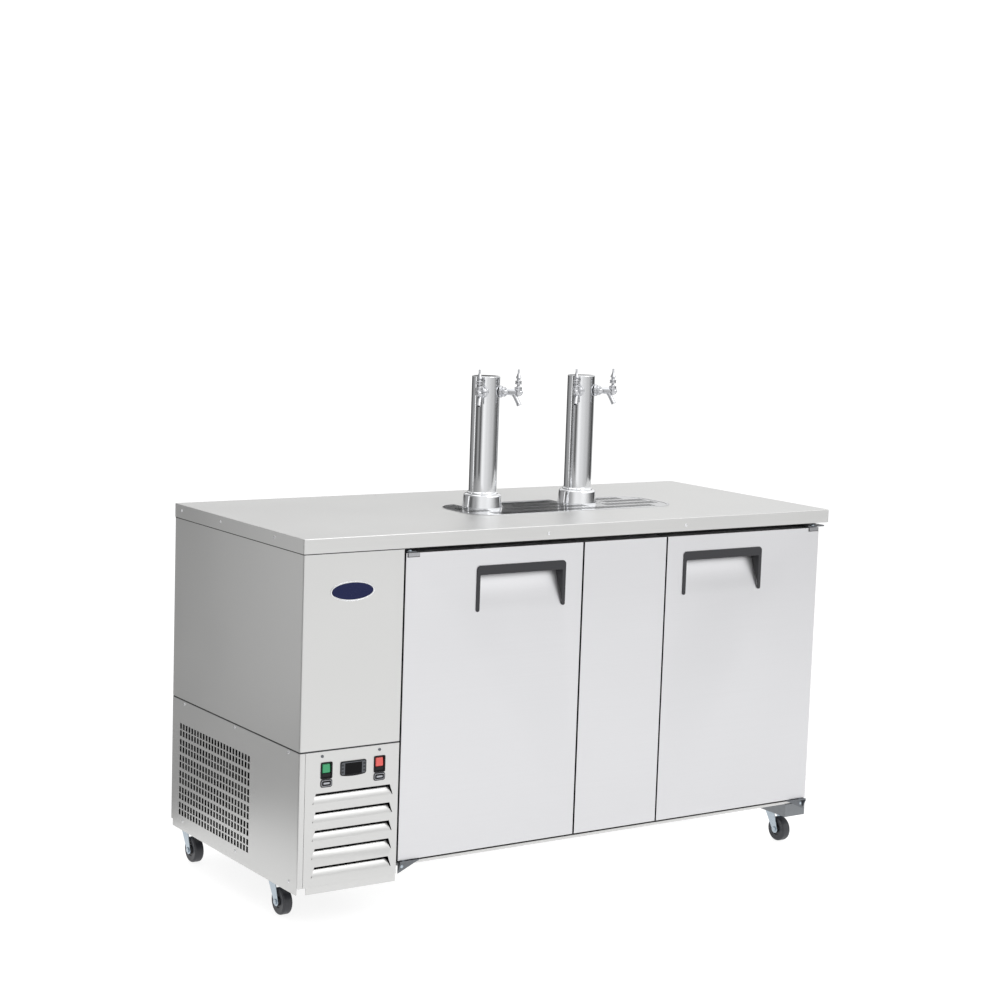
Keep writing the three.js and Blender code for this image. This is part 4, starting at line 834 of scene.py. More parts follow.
def rounded_plate(name, centre, width, height, thickness, radius, steps=5):
    """A plate that faces the front, with round corners and its back at the given place."""
    x, y, z = centre
    plate = block(name, (x - width / 2, y - thickness, z - height / 2), (x + width / 2, y, z + height / 2))
    return round_edges(plate, at(Y), radius, steps)


def make_switch(name, tint):
    """A rocker switch: its frame, the lit lens of the rocker and the black heel below it."""
    node, rocker_node = f"{name}_switch_bezel", f"{name}_rocker"
    low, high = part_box(node)
    key_low, key_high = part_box(rocker_node)
    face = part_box("louver_panel")[0].y
    centre = (low + high) / 2
    bezel = rounded_plate(
        f"{name}_switch_frame", (centre.x, face, centre.z), high.x - low.x, high.z - low.z, 1.5 * MM, 4 * MM
    )
    wall = 3 * MM
    deep = block("deep", (low.x + wall, face - 1 * MM, low.z + wall), (high.x - wall, high.y, high.z - wall))
    carve(bezel, deep, "UNION")
    gap = 0.8 * MM
    well_high = (key_high.x + gap, face + 13.5 * MM, key_high.z + gap)
    carve(bezel, block("well", (key_low.x - gap, low.y - PAST, key_low.z - gap), well_high))
    dress(soften(bezel, 0.5 * MM), "black_abs_and_gap_shade", "black_plastic", node)

    # The rocker's face sinks from a ridge across its lower third out to both ends
    ridge = key_low.z + (key_high.z - key_low.z) * 0.3
    lens = block(f"{name}_switch_lens", (key_low.x, key_low.y, ridge), key_high)
    move(lens, "VERT", at(y=key_low.y, z=key_high.z), (0, 1.6 * MM, 0))
    soften(lens, 2.6 * MM, 1, 60)
    soften(lens, 0.5 * MM, 2, 25)
    dress(lens, f"{tint}_polycarbonate", f"{tint}_plastic", rocker_node)
    heel = block(f"{name}_switch_heel", key_low, (key_high.x, key_high.y, ridge))
    move(heel, "VERT", at(y=key_low.y, z=key_low.z), (0, 1.2 * MM, 0))
    soften(heel, 0.5 * MM, 2, 25)
    dress(heel, "black_abs_and_gap_shade", "black_plastic", body=body_of(rocker_node))

    label_z = low.z - 0.6 * MM - sizes().label_height / 2
    make_label(f"{name}_switch_label", (low.x + high.x) / 2, label_z, face)


def make_controls():
    make_switch("power", "green")
    make_switch("light", "red")
    make_controller(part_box("louver_panel")[0].y)


def make_label(name, x, z, back):
    """A blank label: a black plate with a pale rim and a bare pale strip."""
    size = sizes()
    layers = (
        ("plate", 0.0, 1.2, 6, "black_abs_and_gap_shade", "black_plastic"),
        ("rim", 5, 0.3, 4, "satin_polyester", "display_window"),
        ("well", 7.6, 0.3, 3, "black_abs_and_gap_shade", "black_plastic"),
        ("strip", 16.5, 0.3, 1.4, "satin_polyester", "display_window"),
    )
    for part, trim, thick, radius, finish_name, slot in layers:
        width, height, thickness = size.label_width - trim * MM, size.label_height - trim * MM, thick * MM
        layer = rounded_plate(f"{name}_{part}", (x, back, z), width, height, thickness, radius * MM)
        dress(soften(layer, thickness * 0.3), finish_name, slot)
        back -= thickness


def make_controller(face):
    """The controller: a shell with a bulging lower edge, its grey face, its window and six keys."""
    low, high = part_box("temperature_controller")
    glass_low, glass_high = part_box("controller_screen")
    centre = (low + high) / 2
    bulge, side, columns = 4 * MM, 2 * MM, 12
    foot = low.z + bulge
    shell = block("controller_shell", (low.x + side, face - 1.5 * MM, foot), (high.x - side, face, high.z))
    pick(shell, "EDGE", at(X))
    bpy.ops.mesh.subdivide(number_cuts=columns - 1)
    rest()
    half = (high.x - low.x) / 2
    for column in range(1, columns):
        x = low.x + side + column * (high.x - low.x - 2 * side) / columns
        sag = bulge * (1 - ((x - centre.x) / half) ** 2)
        move(shell, "VERT", at(x=x, z=foot), (0, 0, -sag))
    round_edges(shell, lambda e: along(e, Y) and near(abs(middle(e).x - centre.x), half - side), 5 * MM, 5)
    wall, half_deep = 6 * MM, 13 * MM
    deep_high = (high.x - wall, high.y, centre.z + half_deep)
    carve(shell, block("deep", (low.x + wall, face - 1 * MM, centre.z - half_deep), deep_high), "UNION")
    gap = 0.3 * MM
    well_high = (glass_high.x + gap, glass_high.y + gap, glass_high.z + gap)
    carve(shell, block("well", (glass_low.x - gap, low.y - PAST, glass_low.z - gap), well_high))
    dress(soften(shell, 0.5 * MM), "black_abs_and_gap_shade", "black_plastic", "temperature_controller")

    front = face - 1.4 * MM
    middle_z = centre.z + 1 * MM
    width = high.x - low.x - 9 * MM
    plate = rounded_plate("controller_face", (centre.x, front, middle_z), width, 32 * MM, 0.4 * MM, 4 * MM)
    margin = Vector((1 * MM, FAR_PAST, 1 * MM))
    carve(plate, block("window", glass_low - margin, glass_high + margin))
    dress(smooth(plate), "moulded_grey_abs", "black_plastic")
    glass = block("controller_glass", glass_low, glass_high)
    dress(soften(glass, 0.3 * MM), "smoked_acrylic", "display_window", "controller_screen")
    for hand in (-1, 1):
        x = centre.x + hand * (glass_high.x - glass_low.x) / 2 + hand * 7.5 * MM
        for row in range(3):
            name = f"controller_key_{hand + 2}_{row + 1}"
            z = centre.z + (1 - row) * 9 * MM + 1 * MM
            key = rounded_plate(name, (x, front, z), 6 * MM, 5 * MM, 0.5 * MM, 1.6 * MM, 3)
            dress(soften(key, 0.2 * MM), "moulded_polypropylene", "black_plastic")


def make_badge():
    """A blank oval badge: an enamelled face in a raised bright rim."""
    size = sizes()
    x, face, z = -732 * MM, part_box("upper_skin")[0].y, 871 * MM
    half_width, half_height = size.badge_width / 2, size.badge_height / 2
    rim = rod("oval_badge_rim", (0, 0, 0), half_width, 1.6 * MM, "Y", 64)
    pick(rim, "FACE", faces_front)
    bpy.ops.mesh.inset(thickness=3.4 * MM, depth=0)
    bpy.ops.mesh.inset(thickness=0.6 * MM, depth=-0.7 * MM)
    rest()
    settle(rim, scale=(1, 1, half_height / half_width), location=(x, face - 0.8 * MM, z))
    dress(soften(rim, 0.3 * MM, 2, 35), "mirror_polished_stainless", "polished_stainless")
    inset = 4 * MM
    field = rod("oval_badge_face", (0, 0, 0), half_width - inset, 0.8 * MM, "Y", 64)
    squash = (half_height - inset) / (half_width - inset)
    settle(field, scale=(1, 1, squash), location=(x, face - 0.9 * MM - 0.4 * MM, z))
    dress(soften(field, 0.3 * MM, 2, 35), "stove_enamel", "polished_stainless")


# Doors


def pin_place(side):
    """Where a door's hinge pins stand, and the way from them into the door, 1 or -1 along X."""
    low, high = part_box(f"door_{side}")
    inward = 1 if side == "left" else -1
    edge = low.x if side == "left" else high.x
    return edge + inward * PIN_INSET, low.y + PIN_DEPTH, inward


def door_pocket(pull_low, pull_high, face):
    """The pull's recess as a tool: a level roof, a flat back and a ramp that runs out to the face."""
    size = sizes()
    side = size.pull_leg - 3.4 * MM
    deep = pull_high.y + 0.4 * MM
    roof = pull_high.z - PULL_ROOF
    tool = block("pocket", (pull_low.x + side, face, pull_low.z), (pull_high.x - side, deep, roof))
    move(tool, "EDGE", at(X, y=deep, z=pull_low.z), (0, 0, roof - size.pull_bar - pull_low.z))
    pick(tool, "FACE", faces_front)
    extrude((0, -5 * MM, 0))
    rest()
    return tool


def make_doors():
    size = sizes()
    for side in SIDES:
        node = f"door_{side}"
        low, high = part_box(node)
        leaf = block(f"door_leaf_{side}", low, high)
        round_edges(leaf, at(Z), size.door_edge, 5)
        carve(leaf, door_pocket(*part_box(f"door_pull_{side}"), low.y))
        x, y, _ = pin_place(side)
        for z in (low.z, high.z):
            carve(leaf, rod("pin_hole", (x, y, z), 4.4 * MM, 28 * MM, "Z", 24))
        soften(leaf, 0.8 * MM, 2, 60)
        line_sides(dress(leaf, "brushed_stainless_door", "stainless_door", node))
        make_gasket(side)
        make_pull(side)
    panel = block("centre_panel_skin", *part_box("centre_panel"))
    round_edges(panel, at(Z), 1.5 * MM)
    soften(panel, 0.8 * MM, 2, 60)
    line_sides(dress(panel, "brushed_stainless_door", "stainless_door", "centre_panel"))


def line_sides(leaf):
    """Gives the upright sides of a door or panel, behind the fold of its skin, their black moulded edging."""
    leaf.data.materials.append(finish("black_abs_and_gap_shade"))
    square, least_area = 0.99, 0.02
    pick(leaf, "FACE", lambda f: abs(f.normal.x) > square and f.calc_area() > least_area)
    bpy.context.object.active_material_index = 1
    bpy.ops.object.material_slot_assign()
    rest()


def make_gasket(side):
    """A pleated gasket frame: two bellows ridges with a groove between them."""
    node = f"door_gasket_{side}"
    low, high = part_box(node)
    pad = block(f"door_gasket_pleats_{side}", low, high)
    centre_x, half_x = (low.x + high.x) / 2, (high.x - low.x) / 2
    centre_z, half_z = (low.z + high.z) / 2, (high.z - low.z) / 2
    pleat, rings, room = 4.4 * MM, 4, 0.3 * MM

    def flat(face):
        return abs(face.normal.y) > LOOKS_ALONG

    def window(face):
        """Whether a face is one of the two in the middle, inside the innermost ring."""
        inner = all(abs(corner.co.x - centre_x) < half_x - 17 * MM for corner in face.verts)
        return flat(face) and inner and len(face.verts) == 4 and face.calc_area() > 0.1

    pick(pad, "FACE", flat)
    for _ in range(rings):
        bpy.ops.mesh.inset(thickness=pleat, depth=0)
    rest()
    for number in (0, 2, 4):

        def ring(corner):
            """Whether a corner lies on the inset ring of that number at the frame side."""
            on_x = near(abs(corner.co.x - centre_x), half_x - pleat * number, room)
            on_z = near(abs(corner.co.z - centre_z), half_z - pleat * number, room)
            return on_x and on_z and near(corner.co.y, high.y)

        move(pad, "VERT", ring, (0, -(high.y - low.y) * 0.35, 0))
    pick(pad, "FACE", window)
    bpy.ops.mesh.delete(type="FACE")
    pick(pad, "EDGE", lambda e: e.is_boundary)
    bpy.ops.mesh.bridge_edge_loops()
    face_out()
    dress(smooth(pad, 60), "vinyl_and_painted_shadow", "seal_rubber", node)


def make_pull(side):
    """The pull's trim: a bar with two round-tipped legs, a lip under the bar and a cheek down each side."""
    size = sizes()
    node = f"door_pull_{side}"
    low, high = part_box(node)
    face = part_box(f"door_{side}")[0].y
    leg = size.pull_leg
    bar_foot = high.z - size.pull_bar
    centre_x, half_x = (low.x + high.x) / 2, (high.x - low.x) / 2
    trim = block(f"pull_trim_{side}", (low.x, low.y, bar_foot), (high.x, face - 0.3 * MM, high.z))
    for x in (low.x + leg, high.x - leg):
        pick(trim, "FACE", lambda f: True)
        bpy.ops.mesh.bisect(plane_co=(x, 0, 0), plane_no=(1, 0, 0))
    pick(trim, "FACE", lambda f: f.normal.z < -LOOKS_ALONG and abs(middle(f).x - centre_x) > half_x - leg)
    extrude((0, 0, low.z - bar_foot))
    rest()

    def corners(distance, z):
        """A test for the edges at a height and at a distance to either side of the middle."""
        return lambda e: at(Y, z=z)(e) and near(abs(middle(e).x - centre_x), distance)

    round_edges(trim, corners(half_x, high.z), size.pull_corner, 8)
    round_edges(trim, at(Y, z=low.z), leg * 0.48, 6)
    round_edges(trim, corners(half_x - leg, bar_foot), 2.5 * MM)
    soften(trim, 0.6 * MM, 2, 50)
    lap = 1.5 * MM
    front = low.y + 1 * MM
    lip_high = (high.x - leg + lap, face + 14 * MM, bar_foot + 4 * MM)
    lip = block("lip", (low.x + leg - lap, front, bar_foot), lip_high)
    parts = [trim, soften(lip, 0.8 * MM)]
    foot, roof, wide = low.z + 11 * MM, high.z - PULL_ROOF - 0.4 * MM, 3 * MM
    rise = (0, 0, high.z - PULL_ROOF - size.pull_bar - low.z - 11 * MM)
    for outer, inner in ((low.x + leg - wide, low.x + leg), (high.x - leg, high.x - leg + wide)):
        cheek = block("cheek", (outer, front, foot), (inner, high.y, roof))
        parts.append(soften(move(cheek, "EDGE", at(X, y=high.y, z=foot), rise), 0.4 * MM))
    dress(join(f"pull_trim_{side}", *parts), "moulded_abs_trim", "black_plastic", node)


# Hinge brackets


def make_hinges():
    for side in SIDES:
        make_bush_plate(side)
        make_upper_hinge(side)
        make_lower_hinge(side)


def hinge_pin(name, place, cap_z, profile, pin_z, reach):
    """A pin with its turned cap."""
    cap = settle(turned("cap", profile, 24), location=(*place, cap_z))
    pin = rod("pin", (*place, pin_z), 4 * MM, reach, "Z", 24)
    dress(join(name, smooth(cap, 40), smooth(pin, 40)), "zinc_plated_steel", "zinc_plate")


def make_upper_hinge(side):
    """A flat plate over the door with a knee up its back, and the pin down into the door."""
    node = f"hinge_top_{side}"
    low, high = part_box(node)
    door_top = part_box(f"door_{side}")[1].z
    *place, _ = pin_place(side)
    thick, reach = 3 * MM, 12.3 * MM
    foot = door_top + 1.7 * MM
    plate = block("plate", (low.x, low.y, foot), (high.x, high.y, foot + thick))
    round_edges(plate, at(Z, y=low.y), 11 * MM, 8)
    carve(plate, block("knee", (low.x, high.y - thick, foot), (high.x, high.y, high.z)), "UNION")
    dress(soften(plate, 0.5 * MM), "dark_plated_steel", "galvanised_sheet", node)
    plate.name = f"hinge_plate_top_{side}"
    cap = [(0, 0), (6.5, 0), *bow(4.5, 1, 2, 0, 90), (0, 3.2)]
    pin_z = (door_top - reach + foot) / 2
    hinge_pin(f"hinge_pin_top_{side}", place, foot + thick, cap, pin_z, foot - door_top + reach)


def make_lower_hinge(side):
    """A plate under the door with a rounded tip, a flange and a web below it, two bolts, and the pin up."""
    node = f"hinge_bottom_{side}"
    low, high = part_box(node)
    *place, inward = pin_place(side)
    root_x, tip_x = (low.x, high.x) if side == "left" else (high.x, low.x)
    thick, lap = 3 * MM, 0.5 * MM
    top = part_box(f"door_{side}")[0].z - 1.7 * MM
    front = low.y - 9 * MM
    plate = block("plate", (low.x, front, top - thick), (high.x, high.y, top))
    for corner_x, radius in ((root_x, 3 * MM), (tip_x, 20 * MM)):
        round_edges(plate, at(Z, x=corner_x, y=front), radius, 6)
    flange_y = low.y + 2.8 * MM
    flange = block("flange", (low.x, flange_y, low.z), (high.x, low.y + 5.6 * MM, top - lap))
    carve(plate, move(flange, "EDGE", at(Y, x=tip_x, z=low.z), (0, 0, top - thick - low.z)), "UNION")
    near_x, far_x = sorted((root_x, root_x + inward * thick))
    web = block("web", (near_x, front + 1 * MM, low.z), (far_x, low.y + 5 * MM, top - lap))
    rise = (0, 0, top - 2 * thick - low.z)
    carve(plate, move(web, "EDGE", at(X, y=front + 1 * MM, z=low.z), rise), "UNION")
    dress(soften(plate, 0.5 * MM), "dark_plated_steel", "galvanised_sheet", node)
    plate.name = f"hinge_plate_bottom_{side}"
    dome = [(0, -1), (4.6, -1), (4.6, 0.5), *bow(0, -3.6, 6, 42, 90, 6)[1:-1], (0, 2.4)]
    for number, (x, z) in enumerate(((11, 18), (15, 34)), 1):
        bolt = lay(turned(f"hinge_bolt_{side}_{number}", dome, 28), "Y")
        settle(bolt, location=(root_x + inward * x * MM, flange_y, low.z + z * MM))
        dress(smooth(bolt, 40), "zinc_plated_steel", "zinc_plate")
    cap = [(0, -6), (4, -6), *bow(6, -3.5, 2.5, -90, 0), (8.5, 0), (0, 0)]
    hinge_pin(f"hinge_pin_bottom_{side}", place, top - thick, cap, top + 6.5 * MM, 13 * MM)


def make_bush_plate(side):
    """The folded plate round the pin hole on a door's upper outer corner, over a thin rubber pad."""
    low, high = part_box(f"door_{side}")
    body = body_of(f"door_{side}")
    x, y, inward = pin_place(side)
    edge = low.x if side == "left" else high.x
    near_x, far_x = sorted((edge + inward * 5 * MM, edge + inward * 39 * MM))
    gap, top_z = 0.9 * MM, high.z + 1.2 * MM
    cover = block("cover", (near_x, low.y - 2.4 * MM, high.z - 9 * MM), (far_x, low.y - gap, top_z))
    top = block("top", (near_x, low.y - 1.5 * MM, high.z + 0.1 * MM), (far_x, low.y + 24 * MM, top_z))
    carve(cover, top, "UNION")
    carve(cover, rod("pin_hole", (x, y, high.z), 4.4 * MM, 20 * MM, "Z", 24))
    round_edges(cover, lambda e: along(e, Y) and middle(e).z < high.z - 8 * MM, 3 * MM)
    cover.name = f"hinge_bush_{side}"
    dress(soften(cover, 0.4 * MM), "chromed_brass", "zinc_plate", body=body)
    # The pad reaches past the plate at its sides and foot: a painted shadow outline
    lap = 1.5 * MM
    pad_low = (near_x - lap, low.y - gap, high.z - 10.8 * MM)
    pad = block(f"hinge_shadow_outline_{side}", pad_low, (far_x + lap, low.y, high.z - 1 * MM))
    dress(soften(pad, 0.3 * MM), "vinyl_and_painted_shadow", "seal_rubber", body=body)


# Towers, taps and levers: the profiles below are pairs of radius and height in millimetres


def make_towers():
    size = sizes()
    low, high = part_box("tower_left")
    foot, tall = low.z, (high.z - low.z) / MM
    tube, ring = size.tower_radius / MM, size.flange_height / MM
    flange = 57.5
    profile = [(0, 0), (flange - 1, 0), (flange, 1), *bow(flange - 10.6, ring - 7, 7, 0, 90, 6), (47, ring)]
    profile += [(45, ring + 0.6), (44.4, ring + 3.2), (42.6, ring + 4.6), (41, ring + 6), (tube, ring + 8)]
    profile += [*bow(tube - 2.5, tall - 2.5, 2.5, 0, 90, 5), (0, tall)]
    column = smooth(turned("tower", profile, 96), 35)
    for node in TOWERS:
        x, y, _ = middle_of(node)
        copy = twin(column, f"beer_{node}", (x, y, foot))
        dress(copy, "mirror_polished_stainless", "polished_stainless", node)
    drop(column)


def tap_places():
    """Each tap's name, its place on the tower's axis and its turn about it."""
    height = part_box("tower_left")[1].z - TAP_DROP
    for side in SIDES:
        x, y, _ = middle_of(f"tower_{side}")
        for hand, turn in (("a", -135), ("b", -45)):
            yield f"{side}_{hand}", (x, y, height), math.radians(turn)


def make_taps():
    """One tap is modelled with its shank along X, and copied round each tower."""
    profile = [(0, 26), (9.6, 26), (9.6, 40.2), (16.6, 40.2), (17, 40.8), *bow(15, 46, 2, 0, 90)]
    profile += [(12.6, 48.4), (12.6, 49.2), (13.4, 49.6), (14, 50.4), (14, 55.6), (13.2, 56.6), (11, 58.4)]
    profile += [(9.4, 61), (8.6, 64), (8.6, 67), (9.4, 69.4), (9.4, 97.4)]
    profile += [*bow(0, 97.4, 9, 0, 90, 6)[:-1], (0, 106.4)]
    barrel = lay(turned("barrel", profile, 36), "X")
    profile = [(0, -11), (5, -10.6), (8.4, -8.6), (10, -5), (10, 5), (11, 6.4), (11, 8), (10.2, 9)]
    profile += [(10.2, 12.4), (10.7, 13), (10.7, 14.4), (10.1, 15), (6.3, 15), (6.3, 9.2), (0, 9.2)]
    cup = settle(turned("cup", profile, 36), location=(LEVER_REACH, 0, 0))
    profile = [(0, 4), (7.4, 3), (7.4, -10), (6.6, -14), (6.4, -33), (7, -35), (7, -40), (6.4, -41.2)]
    profile += [(4, -41.2), (4, -24), (0, -23)]
    lean = (0, math.radians(-27), 0)
    spout = settle(turned("spout", profile, 30), rotation_euler=lean, location=(79 * MM, 0, 0))
    nut = soften(rod("nut", (52.8 * MM, 0, 0), 14.4 * MM, 5.6 * MM, "X", 6), 0.6 * MM)
    tap = join("tap", smooth(barrel, 35), smooth(cup, 35), smooth(spout, 35), nut)
    for name, place, turn in tap_places():
        copy = twin(tap, f"beer_tap_{name}", place, turn)
        dress(copy, "chromed_brass", "polished_stainless", f"tap_{name}")
    drop(tap)


def make_levers():
    """The lever stands on a ball: a flanged collar, a waist, a flare and a threaded stem without a handle."""
    profile = [(0, -5.7), *bow(0, 0, 5.7, -90, 50, 8)[1:], (3.6, 6), (3.6, 8), (8.8, 8), (9.5, 8.8)]
    profile += [(9.5, 10.4), (8.7, 11.2), (8.7, 14.6), (9.5, 15.4), (9.5, 17.2), (8.8, 18), (5.4, 18.4)]
    profile += [(4.7, 20), (4.7, 22.4), (6, 24), (7.6, 25.2), (8, 26.6), (7.4, 28), (5.6, 32), (4.2, 36)]
    profile += [(3.2, 39)]
    pitch = 1.5
    for thread in range(6):
        profile += [(3.3, 40 + thread * pitch), (2.8, 40.75 + thread * pitch)]
    profile += [(3.3, 49), (2.6, 50), (0, 50)]
    stalk = smooth(turned("stalk", profile, 28), 35)
    for name, (x, y, z), turn in tap_places():
        reach = Vector((LEVER_REACH, 0, 0))
        reach.rotate(Matrix.Rotation(turn, 3, "Z"))
        copy = twin(stalk, f"lever_{name}", (x + reach.x, y + reach.y, z + LEVER_RISE), turn)
        dress(copy, "chromed_brass", "polished_stainless", f"tap_lever_{name}")
    drop(stalk)


# Casters and the base


def make_casters():
    """One caster is modelled at the origin, its wheel trailing to the front, and copied to each place."""
    tread = [(5, -12), (9, -13.6), (9, -10.4), (17, -10.4), (18.5, -12.6), (29, -13.2)]
    tread += [*bow(30, -8, 6, -80, 0, 5), *bow(30, 8, 6, 0, 80, 5)]
    tread += [(29, 13.2), (18.5, 12.6), (17, 10.4), (9, 10.4), (9, 13.6), (5, 12), (5, -12)]
    wheel = smooth(lay(turned("wheel", tread, 64), "X"), 40)
    rim = [(5.2, -13.9), (10.5, -13.9), (12, -11.2), (12, 11.2), (10.5, 13.9), (5.2, 13.9), (5.2, -13.9)]
    disc = smooth(lay(turned("disc", rim, 40), "X"), 40)

    legs = []
    for x0, x1 in ((16.5, 19), (-19, -16.5)):
        leg = block("leg", (x0 * MM, -20 * MM, WHEEL_HEIGHT), (x1 * MM, 20 * MM, 86 * MM))
        pick(leg, "FACE", lambda f: f.normal.z < -LOOKS_ALONG)
        bpy.ops.transform.resize(value=(1, 0.6, 1))
        bpy.ops.transform.translate(value=(0, -WHEEL_TRAIL, 0))
        extrude((0, 0, -12 * MM))
        rest()
        round_edges(leg, at(X, z=24 * MM), 11.5 * MM, 8)
        legs.append(soften(leg, 0.6 * MM, 2, 50))
    bridge = block("bridge", (-19 * MM, -20 * MM, 84.5 * MM), (19 * MM, 20 * MM, 88.4 * MM))
    crown = [(0, 80.8), (15, 80.8), (22, 81.6), *bow(22, 84.6, 3, -80, 80, 6)]
    crown += [(21, 88.6), (20, 89.4), (20, 91.2), (19.4, 91.7), (0, 91.7)]
    hub = (-WHEEL_TRAIL, WHEEL_HEIGHT)
    legs += [
        soften(bridge, 1.2 * MM, 3),
        smooth(turned("crown", crown, 48), 35),
        soften(rod("kingpin", (0, 0, 79.6 * MM), 6.5 * MM, 5 * MM, "Z", 6), 0.5 * MM),
        smooth(rod("axle", (0, *hub), 4.6 * MM, 44 * MM, "X", 24), 40),
    ]
    for x in (-20.8, 20.8):
        legs.append(soften(rod("nut", (x * MM, *hub), 7.5 * MM, 3.6 * MM, "X", 6), 0.5 * MM))
    fork = join("fork", *legs)
    for place in ("front_left", "back_left", "front_right", "back_right"):
        wheel_node, fork_node = f"caster_wheel_{place}", f"caster_fork_{place}"
        spot = middle_of(wheel_node)
        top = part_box(fork_node)[1].z
        dress(twin(wheel, f"caster_tyre_{place}", spot), "thermoplastic_rubber", "caster_rubber", wheel_node)
        centre = twin(disc, f"caster_hub_{place}", spot)
        dress(centre, "moulded_polypropylene", "black_plastic", body=body_of(wheel_node))
        copy = twin(fork, f"caster_frame_{place}", (spot.x, spot.y + WHEEL_TRAIL, top - FORK_HEIGHT))
        dress(copy, "zinc_plated_steel", "zinc_plate", fork_node)
    drop(wheel, disc, fork)


def make_base():
    for node, name, finish_name, slot in (
        ("base_frame", "base_rail", "brushed_stainless_front", "galvanised_sheet"),
        ("base_channel", "right_channel", "hot_dip_galvanised", "galvanised_sheet"),
        ("cabinet_floor", "floor_panel", "brushed_stainless_front", "stainless_skin"),
    ):
        dress(soften(sheet_copy(node, name), sizes().sheet_edge, 1), finish_name, slot, node)


def make_cabinet():
    paint("brushed_stainless_skin", "cabinet_right_wall", "cabinet_back")
    paint("black_enamel_and_bay_shade", "door_frame")
    paint("stucco_aluminium", "cabinet_ceiling", "evaporator_box")
    paint("hot_dip_galvanised", "bulkhead")


def make_cooling():
    paint("mill_aluminium", "evaporator_coil")
    paint("black_enamel_and_bay_shade", "condenser_coil", "condenser_shroud", "compressor")
    paint("moulded_polypropylene", "condenser_fan", "evaporator_fan", "evaporator_shroud")


# Stage

# Tall cards round the towers: degrees from the camera, right positive, and how bright each is
CARDS = (
    (-179, 0.3), (-158, 0.05), (-98, 0.42), (-68, 0.1), (-50, 0.42), (-34, 0.1),
    (-8, 1.15), (20, 0.88), (62, 0.66), (100, 0.2), (124, 0.05), (160, 0.7),
)

# The camera's axes, place and lens, fitted to the photograph's edges
CAMERA_RIGHT = (0.831285, -0.554833, 0.033549)
CAMERA_UP = (0.040244, 0.120274, 0.991925)
CAMERA_BACK = (-0.554387, -0.823222, 0.122311)
CAMERA_PLACE = (-3.37492, -4.95055, 1.76515)
CAMERA_LENS = 76.05


def softbox(name, place, target, width, height, power):
    """A soft light that faces its target and isn't itself in view."""
    rest()
    bpy.ops.object.light_add(type="AREA", location=place)
    lamp = named(name)
    lamp.data.shape = "RECTANGLE"
    lamp.data.size = width
    lamp.data.size_y = height
    lamp.data.energy = power
    lamp.rotation_euler = (Vector(target) - Vector(place)).to_track_quat("-Z", "Y").to_euler()
    lamp.visible_camera = False


def make_floor():
    """A low lit table under the cooler, which runs out into the white of the studio."""
    rest()
    low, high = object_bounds()
    margin, forward = 1.0, 0.2
    bpy.ops.mesh.primitive_plane_add(size=1, location=(0, (low[1] + high[1]) / 2 - forward, 0))
    floor = settle(named("studio_floor"), scale=(high[0] - low[0] + margin, high[1] - low[1] + margin, 1))
    floor.data.materials.append(finish("opal_acrylic"))
    floor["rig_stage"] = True


def make_world():
    """White to the eye; in reflections darker on the left, with a ring of cards at the towers' height."""
    world = bpy.data.worlds.new("studio")
    bpy.context.scene.world = world
    world.use_nodes = True
    tree = world.node_tree
    tree.nodes.clear()

    def facing(direction):
        """How far a view goes towards a direction, from -1 to 1."""
        inputs = {0: way, 1: direction}
        return add_node(tree, "ShaderNodeVectorMath", inputs, operation="DOT_PRODUCT").outputs["Value"]

    def fade(value, start, end, low=0.0, high=1.0):
        return map_range(tree, value, start, end, low, high, "SMOOTHSTEP")

    def times(one, other):
        return add_node(tree, "ShaderNodeMath", {0: one, 1: other}, operation="MULTIPLY").outputs[0]

    def mixed(share, one, other):
        return add_node(tree, "ShaderNodeMix", {0: share, 2: one, 3: other}, data_type="FLOAT").outputs[0]

    way = add_node(tree, "ShaderNodeTexCoord").outputs["Generated"]
    across = facing((0.831, -0.556, 0.0))
    towards = facing((-0.556, -0.831, 0.0))
    rise = add_node(tree, "ShaderNodeSeparateXYZ", {"Vector": way}).outputs["Z"]

    # The walls, darker on the left and a little brighter on the far right
    lift = map_range(tree, across, 0.3, 0.85, 1.0, 1.26)
    walls = times(fade(across, -0.95, -0.1, 0.31, 1.06), lift)

    # The ring of cards, within a band of heights
    angle = add_node(tree, "ShaderNodeMath", {0: across, 1: towards}, operation="ARCTAN2").outputs[0]
    cards = add_node(tree, "ShaderNodeValToRGB", {"Fac": map_range(tree, angle, -math.pi, math.pi)})
    ramp = cards.color_ramp
    ramp.interpolation = "EASE"
    for degrees, level in CARDS:
        ramp.elements.new((degrees + 180) / 360).color = (level, level, level, 1)
    ramp.elements.remove(ramp.elements[0])
    ramp.elements.remove(ramp.elements[len(ramp.elements) - 1])
    band = times(fade(rise, -0.168, -0.152), fade(rise, 0.085, 0.1, 1.0, 0.0))
    glow = mixed(band, walls, cards.outputs["Color"])

    # A dark slab low behind the cooler, which level sheets mirror
    behind = times(fade(towards, -0.86, -0.93), fade(across, 0.02, 0.06, 1.0, 0.3))
    slab = times(fade(rise, 0.05, 0.075), fade(rise, 0.15, 0.17, 1.0, 0.0))
    dark, white = 0.06, 1.1
    glow = mixed(times(slab, behind), glow, dark)

    seen = add_node(tree, "ShaderNodeLightPath").outputs["Is Camera Ray"]
    strength = mixed(seen, glow, white)
    shine = add_node(tree, "ShaderNodeBackground", {"Color": (1, 1, 1, 1), "Strength": strength})
    add_node(tree, "ShaderNodeOutputWorld", {"Surface": shine.outputs[0]})


